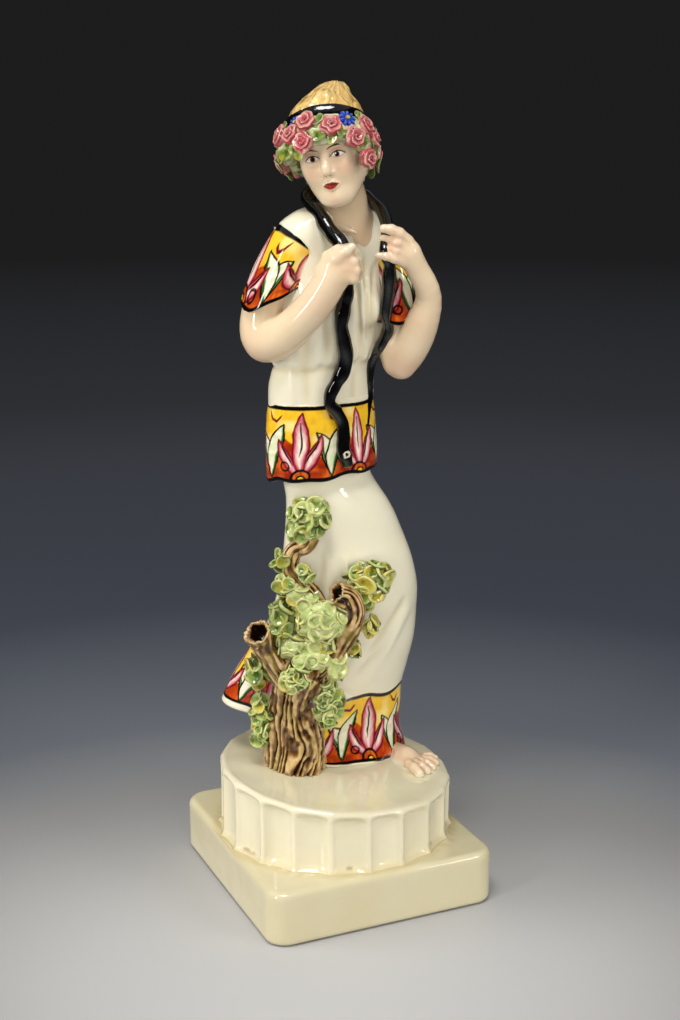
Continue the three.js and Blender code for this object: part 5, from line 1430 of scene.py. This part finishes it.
def snake():
    tail = [[15.3, 5.4, 225.1, 0.7], [15.8, 6.8, 232.9, 1.2], [16.3, 7.8, 240.3, 1.6], [16.2, 6.5, 246.2, 1.9], [16.8, 6.1, 253.7, 2.2], [18.6, 4.2, 258.3, 2.4], [21.9, 0.6, 264.4, 2.7], [24.3, -1.4, 271.2, 2.8],
            [23.3, -4.4, 277.6, 2.9], [23.6, -7.4, 284.4, 3.0], [24.3, -11.2, 294.9, 3.1], [24.2, -13.4, 302.0, 3.0], [22.6, -14.2, 308.0, 2.9], [23.4, -10.0, 313.3, 2.9]]
    collar = [[23.4, -4.0, 318.8, 2.8], [21.5, 1.0, 323.3, 2.7], [18.7, 5.0, 326.7, 2.6], [15.6, 9.0, 329.6, 2.6], [11.6, 15.0, 331.6, 2.5], [4.5, 18.6, 333, 2.6], [-4.0, 17, 333.4, 2.8], [-9.6, 12.4, 332.4, 3.1], [-11.8, 7, 329.6, 3.3], [-10, 2, 326.5, 3.4],
              [-6.6, -4, 322.9, 3.4], [-3.6, -8, 318.8, 3.5], [-0.5, -12, 314.8, 3.4], [3.2, -15.8, 311.2, 3.3], [5.4, -17.4, 306.0, 3.2], [5.9, -17.4, 300.5, 3.1]]
    body = [[5.8, -15.4, 295.8, 3.2], [5.0, -14.4, 288.6, 3.3], [3.9, -14.3, 280.8, 3.4], [3.0, -13.9, 275.0, 3.4], [4.3, -12.6, 268.0, 3.4], [5.0, -11.0, 260.4, 3.4], [3.9, -10.0, 253.7, 3.4], [1.2, -10.2, 248.9, 3.3], [-1.5, -10.7, 243.6, 3.1], [-2.0, -10.7, 239.0, 3.0],
            [0.7, -9.4, 234.5, 2.95], [3.7, -8.0, 229.0, 2.95], [4.1, -7.7, 222.8, 2.95], [3.9, -7.8, 218.0, 3.2], [4.9, -7.9, 213.6, 3.7], [5.5, -7.4, 210.6, 2.9]]
    pts = tail + collar + body
    path = catmull(pts, 620)
    t, u, v = frames(path[:, :3], (0, 0, 1))
    # a frame that turns steadily along the body
    u2 = np.empty_like(u)
    u2[0] = norm(np.cross(t[0], (0, 1, 0)))
    for i in range(1, len(t)):
        u2[i] = norm(u2[i - 1] - (u2[i - 1] @ t[i]) * t[i])
    v2 = np.cross(t, u2)
    L = np.concatenate([[0], np.cumsum(np.linalg.norm(np.diff(path[:, :3], axis=0), axis=1))])
    a = np.linspace(0, 2 * pi, 30, endpoint=False)
    r = path[:, 3][:, None] * (1 + 0.06 * np.sin(L[:, None] / 1.9 + 1.6 * np.sin(L[:, None] / 7)) + 0.05 * np.sin(2 * a + L[:, None] / 5) + 0.04 * np.sin(a + L[:, None] / 2.3))
    P = path[:, None, :3] + r[..., None] * (np.cos(a)[:, None] * u2[:, None] + np.sin(a)[:, None] * v2[:, None])
    caps0, caps1 = [], []
    for k in np.linspace(15, 75, 5):
        k = math.radians(k)
        caps0.append(path[0, :3] - t[0] * r[0].mean() * 1.6 * math.cos(k) + math.sin(k) * (P[0] - path[0, :3]))
        caps1.append(path[-1, :3] + t[-1] * r[-1].mean() * 0.9 * math.cos(k) + math.sin(k) * (P[-1] - path[-1, :3]))
    G = np.concatenate([np.array(caps0), P, np.array(caps1[::-1])])
    V, q, tr = wrap(G)
    q, tr = facing_out(V - V.mean(0), q, tr)
    col = np.broadcast_to(C["black"], V.shape).copy()
    # a white ring for the eye, on the side that shows
    d = np.hypot(V[:, 0] - 5.7, V[:, 2] - 215.0)
    col = mix(col, C["white"], sstep(0.40, 0.24, np.abs(d - 1.3)) * (V[:, 1] < -9))
    make("snake_shape", V, q, tr, col, M["black"], ("snake_collar", "snake_head_length", "snake_tail_length"))


# ------------------------------------------------------------------ tree
def bark(path, n, hint, seed, ridge=1.0, cell=3.0, cap=4, squash=0.0, step=0.45):
    """Ropey bark: strands that run along the limb, waver, fork and close up again."""
    path = np.asarray(path, float)
    L = np.linalg.norm(np.diff(path[:, :3], axis=0), axis=1).sum()
    p = catmull(path, int(L / step) + 2)
    t, u, v = frames(p[:, :3], hint)
    s = np.concatenate([[0], np.cumsum(np.linalg.norm(np.diff(p[:, :3], axis=0), axis=1))])
    a = np.linspace(0, 2 * pi, n, endpoint=False)
    R0 = p[:, 3][:, None]
    base = float(np.mean(p[:, 3]))
    A, S = np.broadcast_arrays(a[None] + 0.16 * np.sin(s[:, None] / 9 + seed), s[:, None])
    q = np.stack([np.cos(A) * base, np.sin(A) * base, S * 0.24], -1)
    N = max(6, 2 * round(2 * pi * base / cell / 2))
    w = noise3(q, 5.0, seed) + 0.45 * noise3(q, 2.4, seed + 1)
    ph = N * A / 2 + 3.0 * w
    g1 = np.abs(np.sin(ph)) ** 0.6
    g2 = np.abs(np.sin(ph / 2 + 0.6)) ** 0.6
    k = sstep(0.0, 0.3, noise3(q, 6.0, seed + 4))
    h = g1 * (1 - k) + np.maximum(g2, 0.7 * g1) * k
    low = sstep(0.10, 0.5, noise3(np.stack([np.cos(A) * base, np.sin(A) * base, S * 0.4], -1), 3.6, seed + 2))
    h = h * (1 - 0.2 * low)
    big = noise3(np.stack([np.cos(A) * base, np.sin(A) * base, S * 0.35], -1), 7.0, seed + 6)
    h = np.clip(h + 0.26 * noise3(np.stack([np.cos(A) * base, np.sin(A) * base, S * 0.7], -1), 1.8, seed + 5), 0, 1.1)
    amp = ridge * np.clip(R0 / 9, 0.4, 1.25)
    R = R0 + amp * ((h - 0.62) * 1.8 + 1.3 * big)
    P = p[:, None, :3] + R[..., None] * (np.cos(a)[:, None] * u[:, None] + np.sin(a)[:, None] * v[:, None])
    return p, t, u, v, a, s, R, h, P


def bark_paint(V, h, seed):
    n = fbm(V, 5, seed)
    c = mix(C["bark_dark"], C["bark"], sstep(0.34, 0.66, h + 0.14 * n))
    c = mix(c, srgb("8a6642"), sstep(0.58, 0.80, h + 0.18 * n))
    c = mix(c, C["bark_pale"], sstep(0.72, 1.0, h + 0.30 * n))
    c = mix(c, C["bark_dark"], 0.55 * sstep(0.2, 0.6, fbm(V * np.array([1, 1, 0.35]), 2.6, seed + 4)))
    c = mix(c, srgb("8e8440"), 0.45 * sstep(0.05, 0.45, fbm(V, 7, seed + 9)) * sstep(0.35, 0.7, h))
    return c * np.array([0.94, 0.90, 0.66])


def bark_piece(name, node, path, n, hint, seed, ridge=1.0, cell=3.0, close=(True, True), bore=None, foot=False):
    p, t, u, v, a, s, R, h, P = bark(path, n, hint, seed, ridge, cell)
    if foot:
        e = np.exp(-s[:, None] / 2.2)
        P = P + (R[..., None] * (np.cos(a)[:, None] * u[:, None] + np.sin(a)[:, None] * v[:, None])) * (0.05 * e * (h - 0.5))[..., None]
    H = h
    if bore:
        rad, depth = bore
        end, tt = p[-1, :3], t[-1]
        dirs = np.cos(a)[:, None] * u[-1] + np.sin(a)[:, None] * v[-1]
        lip = 0.5 * np.sin(3 * a + 1)[:, None] + 0.3 * np.sin(7 * a)[:, None]
        wob = 1 + 0.10 * np.sin(2 * a + 1) + 0.07 * np.sin(5 * a)
        ev = p[-1, 3]
        extra, eh = [], []
        for rr, dd, hv in ((1.02, 0.5, 0.9), (0.97, 0.95, 1.1), (0.88, 0.95, 1.1), (rad * 1.12, 0.4, 1.0), (rad, -0.6, 0.45), (rad * 0.95, -depth * 0.35, 0.0), (rad * 0.8, -depth * 0.8, 0.0), (rad * 0.3, -depth, 0.0)):
            Rr = R[-1] * rr if rr > rad * 1.05 else ev * rr * wob
            extra.append(end + tt * (dd + lip * (rr > rad * 0.95)) + dirs * Rr[:, None])
            eh.append(np.full(n, hv) - 0.15 * np.abs(np.sin(9 * a + rr * 20)))
        P = np.concatenate([P, np.array(extra)])
        H = np.concatenate([H, np.array(eh)])
    V, q, tr = wrap(P, close[0], close[1])
    q, tr = facing_out(V - V.mean(0), q, tr)
    hh = np.concatenate([H.ravel(), np.full(len(V) - H.size, -0.2 if bore else 0.4)])
    col = bark_paint(V, hh, seed)
    if bore:
        # the inside of the hollow end is painted nearly black: painted shade
        col[hh < 0.02] = C["bark_dark"] * 0.4
        col = mix(col, srgb("dcb79c"), 0.55 * sstep(0.94, 1.05, hh))
    make(name, V, q, tr, col, M["bark"], (node,))


def tree():
    trunk = [[-19.6, -3.4, 55.8, 15.0], [-19.5, -3.7, 60, 14.4], [-19.2, -4.6, 67, 14.0], [-18.4, -6, 77, 13.4], [-17, -8.5, 92, 12.8], [-15.6, -11, 104, 12.4], [-14.6, -12.4, 113, 12.0], [-12.0, -13.8, 121, 9.6], [-9.6, -14.4, 126, 6.4]]
    bark_piece("trunk_shape", "tree_trunk", trunk, 320, (0, 1, 0), 3, 1.2, 3.1, foot=True)
    bark_piece("stub_shape", "branch_stub", [[-19, -13, 103, 7.4], [-26.4, -15.0, 115, 6.6], [-31.6, -16.6, 124.0, 6.0], [-33.8, -18.4, 129.4, 6.4], [-35.6, -20.2, 132.4, 6.7]], 180, (0, 1, 0), 7, 1.0, 2.4, bore=(0.7, 8))
    up = [[-14.6, -14.6, 116, 6.8], [-10.4, -16.2, 128, 6], [-7.6, -16.4, 139.6, 5.2], [-10.6, -16.0, 149.6, 4.4], [-16.4, -16.8, 156.4, 4.2], [-20.4, -17.6, 164.4, 3.9], [-18.4, -17.4, 171.0, 3.8], [-12.8, -16.6, 173.2, 3.6], [-9.4, -15.4, 177.4, 3.2]]
    bark_piece("upper_branch_shape", "upper_branch", up, 150, (0, 1, 0), 12, 1.3, 2.4)
    rb = [[-11, -14.0, 108.5, 6.6], [-3.5, -16.5, 116.6, 6.0], [3.0, -17.4, 126.0, 5.4], [8.2, -17.7, 135.4, 5.2], [9.0, -18.2, 143.4, 5.8], [6.0, -19.0, 148.8, 6.2], [1.4, -20.8, 151.8, 5.8]]
    bark_piece("right_branch_shape", "right_branch", rb, 170, (0, 1, 0), 17, 1.2, 2.5, bore=(0.7, 5))


LEAVES = {"top": ([-13.0, -14.4, 185.8], [11.4, 7.2, 11.2], 0.16), "upper_left": ([-24.6, -18.6, 166.8], [2.4, 2.8, 4.2], 0), "upper_right": ([-14.2, -18.6, 159.8], [3.2, 2.8, 3.8], 0),
    "bend": ([-23.1, -20.6, 155.6], [3.4, 3.0, 3.8], 0.0), "left": ([-25.6, -20.0, 137.0], [6.4, 4.8, 11.2], 0), "middle": ([-6.2, -21.6, 138.4], [12.4, 6.0, 10.6], 0.1), "fork": ([-10.6, -23.6, 119.6], [9.4, 3.4, 4.8], 0.05),
    "right": ([14.6, -13.6, 153.2], [12.0, 7.0, 13.6], 0.30), "drop": ([16.6, -15.0, 133.4], [2.1, 2.6, 4.4], 1.0), "sprig": ([8.8, -16.2, 122.4], [2.3, 2.4, 2.8], 0.0), "front": ([-17.9, -24.4, 110.6], [7.0, 3.6, 4.8], 0.0),
    "low_left": ([-36.4, -13, 110.2], [5.0, 4.6, 8.4], 0.4), "foot": ([-35.2, -12, 84.8], [3.2, 3.8, 13.4], 0.12), "low_right": ([-3.4, -18.0, 96.8], [5.8, 4.0, 12.6], 0.12)}


def cluster(name, c, half, yellow, seed):
    rng = np.random.default_rng(seed)
    c, half = np.array(c, float), np.array(half, float)
    flat = name in ("middle", "fork")
    big = half.min() > 4.3
    if flat or not big:
        subs = [(c, half * 0.94)]
    else:
        subs = [(c, half * 0.66)] + [(c + v * half * 0.40, half * w) for v, w in zip(norm(rng.normal(size=(5, 3))), rng.uniform(0.46, 0.60, 5))]
    if name == "middle":
        # the same growth runs on up the branch to the left
        subs += [(np.array((-13.5, -19.6, 146.0)), np.array((6.6, 4.4, 6.0))), (np.array((-18.6, -19.8, 151.2)), np.array((5.2, 4.0, 4.8)))]
    if name == "fork":
        # and down over the fork of the trunk
        subs += [(np.array((-19.0, -20.4, 125.4)), np.array((7.4, 4.2, 5.6))), (np.array((-8.0, -20.2, 126.6)), np.array((8.0, 4.4, 4.6))), (np.array((0.4, -20.0, 115.6)), np.array((5.4, 3.6, 6.4)))]
    # lumps under the leaves
    n, m = 36, 22
    a = np.linspace(0, 2 * pi, n, endpoint=False)[None]
    b = np.linspace(-pi / 2 + 0.06, pi / 2 - 0.06, m)[:, None]
    S = np.stack([np.cos(b) * np.cos(a), np.cos(b) * np.sin(a), np.sin(b) + 0 * a], -1)
    parts = []
    for i, (sc, sh) in enumerate(subs):
        P = sc + S * sh * (1.0 if flat else 0.90) * (1 + 0.14 * noise3(S * 4 + i * 9, 1.5, seed)[..., None])
        V0, q0, t0 = wrap(P)
        q0, t0 = facing_out(V0 - V0.mean(0), q0, t0)
        f = fbm(V0, 3, seed)
        c0 = mix(C["leaf_dark"], C["leaf"], np.clip(0.15 + 0.6 * f, 0, 1))
        if flat:
            c0 = mix(mix(C["leaf"], C["leaf_pale"], np.clip(0.6 + 0.6 * f, 0, 1)), C["bark_dark"], 0.55 * sstep(0.15, 0.45, fbm(V0 * np.array([1, 1, 0.5]), 2.4, seed + 5)))
        parts.append((V0, q0, t0, c0))
    R = 4.3 if big and not flat else (4.2 if flat else 3.3)
    pts = []
    for tries in range(5000):
        sc, sh = subs[rng.integers(len(subs))]
        d = norm(rng.normal(size=3))
        if d[1] > 0.5:
            continue
        p = sc + d * sh
        if any(((((p - c2) / s2) ** 2).sum()) < 0.95 for c2, s2 in subs if c2 is not sc):
            continue
        gap = R * (1.12 if tries < 2500 else 0.9) * (1.25 if flat else 1)
        if all(np.linalg.norm(p - x) > gap for x, _ in pts):
            pts.append((p, norm(d / sh)))
    cen, nor, siz, spn = [], [], [], []
    for p, nn in pts:
        tilt = rng.normal(size=3) * (0.14 if flat else 0.34) + np.array((0, -0.3, 0.25))
        cen.append(p + nn * (rng.uniform(-0.7, -0.1) if flat else rng.uniform(-0.3, 1.0)))
        nor.append(norm(nn + tilt))
        siz.append(R * rng.uniform(0.68, 1.12))
        spn.append(rng.uniform(0, 2 * pi))
    V, q, t, fr, ids = lobes(cen, nor, siz, spn, seed, cup=0.6 if flat else 0.75, odd=0.6)
    q, t = facing_lobes(V, q, t)
    col = lobe_paint(V, fr, ids, seed, yellow, 0.3 if name in ("left", "upper_left") else 0.0, 0.45 if flat else 0.0)
    VV, QQ, TT, PP = join(parts + [(V, q, t, col)])
    make("leaves_" + name, VV, QQ, TT, PP, M["leaf"], ("foliage_" + name,))


head()
hair()
ribbon()
wreath()
snake()
tree()
for _i, (_k, (_c, _h, _y)) in enumerate(LEAVES.items()):
    cluster(_k, _c, _h, _y, 200 + _i)

# ------------------------------------------------------------------ stage and light
FLOOR = [(-400, "d2d0cd"), (-120, "c7c5c2"), (-29, "b6b4b1"), (79, "918f8d"), (192, "676b71"), (418, "444750"), (1122, "2e2f33"), (2400, "1d1d1e"), (9000, "1a1a1a")]


def stage():
    rad = np.concatenate([np.linspace(0, 700, 90), np.linspace(720, 2600, 60)])
    rows = [(r, 0.0) for r in rad]
    for k in np.linspace(5, 90, 16):
        k = math.radians(k)
        rows.append((2600 + 600 * math.sin(k), 600 * (1 - math.cos(k))))
    for z in np.linspace(700, 2600, 10):
        rows.append((3200, z))
    rows = np.array(rows[1:])
    a = np.linspace(0, 2 * pi, 180, endpoint=False)
    P = np.stack([rows[:, :1] * np.cos(a), rows[:, :1] * np.sin(a), np.broadcast_to(rows[:, 1:], (len(rows), 180))], -1)
    V, q, t = wrap(P, True, False)
    L = np.concatenate([[0], np.cumsum(np.hypot(*np.diff(rows, axis=0).T))])
    r = np.concatenate([np.repeat(L + rows[0, 0], 180), [0]])
    # painted light: near the figure the floor is painted darker towards the back, and further out darker with distance,
    # as light fall-off
    w = np.exp(-((r / 260) ** 2))
    ye = r * (1 - w) + V[:, 1] * w
    keys = np.array([k for k, _ in FLOOR], float)
    vals = np.array([srgb(h) for _, h in FLOOR])
    col = np.stack([np.interp(ye, keys, vals[:, i]) for i in range(3)], 1)
    # beyond 300 to 900 mm the sweep glows by emission instead of being lit: painted light
    far = sstep(300, 900, r)
    ob_q = q[:, ::-1] if np.cross(V[q[0, 1]] - V[q[0, 0]], V[q[0, 2]] - V[q[0, 0]])[2] < 0 else q
    n0 = np.cross(V[t[0, 1]] - V[t[0, 0]], V[t[0, 2]] - V[t[0, 0]])[2]
    t = t if n0 > 0 else t[:, ::-1]
    co = fig_to_obj(V)
    me = bpy.data.meshes.new("sweep")
    me.from_pydata(co.tolist(), [], ob_q.tolist() + t.tolist())
    me.update()
    me.polygons.foreach_set("use_smooth", np.ones(len(me.polygons), bool))
    at = me.color_attributes.new("paint", "FLOAT_COLOR", "POINT")
    rgba = np.ones((len(V), 4), np.float32)
    rgba[:, :3] = col
    at.data.foreach_set("color", rgba.ravel())
    fa = me.attributes.new("far", "FLOAT", "POINT")
    fa.data.foreach_set("value", far.astype(np.float32))
    ob = bpy.data.objects.new("sweep", me)
    bpy.context.scene.collection.objects.link(ob)
    m = bpy.data.materials.new("sweep_painted_light")
    m.use_nodes = True
    nt = m.node_tree
    for n in list(nt.nodes):
        nt.nodes.remove(n)
    out = nt.nodes.new("ShaderNodeOutputMaterial")
    at = nt.nodes.new("ShaderNodeAttribute"); at.attribute_name = "paint"
    fa = nt.nodes.new("ShaderNodeAttribute"); fa.attribute_name = "far"
    b = nt.nodes.new("ShaderNodeBsdfPrincipled")
    b.inputs["Roughness"].default_value = 0.55
    b.inputs["Specular IOR Level"].default_value = 0.25
    e = nt.nodes.new("ShaderNodeEmission")
    e.inputs["Strength"].default_value = 1.0
    gain = nt.nodes.new("ShaderNodeMix"); gain.data_type = "RGBA"; gain.blend_type = "MULTIPLY"
    gain.inputs["Factor"].default_value = 1.0
    gain.inputs["B"].default_value = (FLOOR_GAIN, FLOOR_GAIN, FLOOR_GAIN, 1)
    mxs = nt.nodes.new("ShaderNodeMixShader")
    nt.links.new(at.outputs["Color"], gain.inputs["A"])
    nt.links.new(gain.outputs["Result"], b.inputs["Base Color"])
    nt.links.new(at.outputs["Color"], e.inputs["Color"])
    nt.links.new(fa.outputs["Fac"], mxs.inputs[0])
    nt.links.new(b.outputs[0], mxs.inputs[1])
    nt.links.new(e.outputs[0], mxs.inputs[2])
    nt.links.new(mxs.outputs[0], out.inputs[0])
    me.materials.append(m)


def area(name, pos, look, size, power, colour=(1, 1, 1)):
    li = bpy.data.lights.new(name, "AREA")
    li.shape = "RECTANGLE"
    li.size, li.size_y = size
    li.energy = power
    li.color = colour
    ob = bpy.data.objects.new(name, li)
    bpy.context.scene.collection.objects.link(ob)
    p, l = Vector(fig_to_obj(np.array(pos) * 1000)), Vector(fig_to_obj(np.array(look) * 1000))
    ob.location = p
    ob.rotation_euler = (l - p).to_track_quat("-Z", "Y").to_euler()
    return ob


def soft(ob):
    """A broad fill that lights the object and leaves no reflection in the glaze."""
    ob.visible_glossy = False
    return ob


FLOOR_GAIN = 1.0
stage()
area("strip_left", (-0.80, -0.80, 0.66), (0, 0, 0.22), (0.12, 0.62), 3.4, (1, 0.99, 0.975))
area("strip_right", (0.95, -0.62, 0.72), (0, 0, 0.22), (0.10, 0.28), 1.1, (0.98, 0.99, 1))
area("top_soft", (-0.15, -0.60, 1.45), (0, 0, 0.15), (0.55, 0.4), 11.0)
soft(area("fill_left", (-1.42, -0.20, 0.42), (0, 0, 0.18), (0.8, 1.1), 18.0))
soft(area("fill_right", (1.2, -0.65, 0.40), (0, 0, 0.18), (0.8, 1.1), 9.0))
soft(area("fill_front", (0.15, -1.9, 0.45), (0, 0, 0.18), (1.6, 1.0), 18.0))

world = bpy.data.worlds.new("room")
world.use_nodes = True
world.node_tree.nodes["Background"].inputs[0].default_value = (0.9, 0.95, 1.0, 1)
world.node_tree.nodes["Background"].inputs[1].default_value = 0.30
bpy.context.scene.world = world
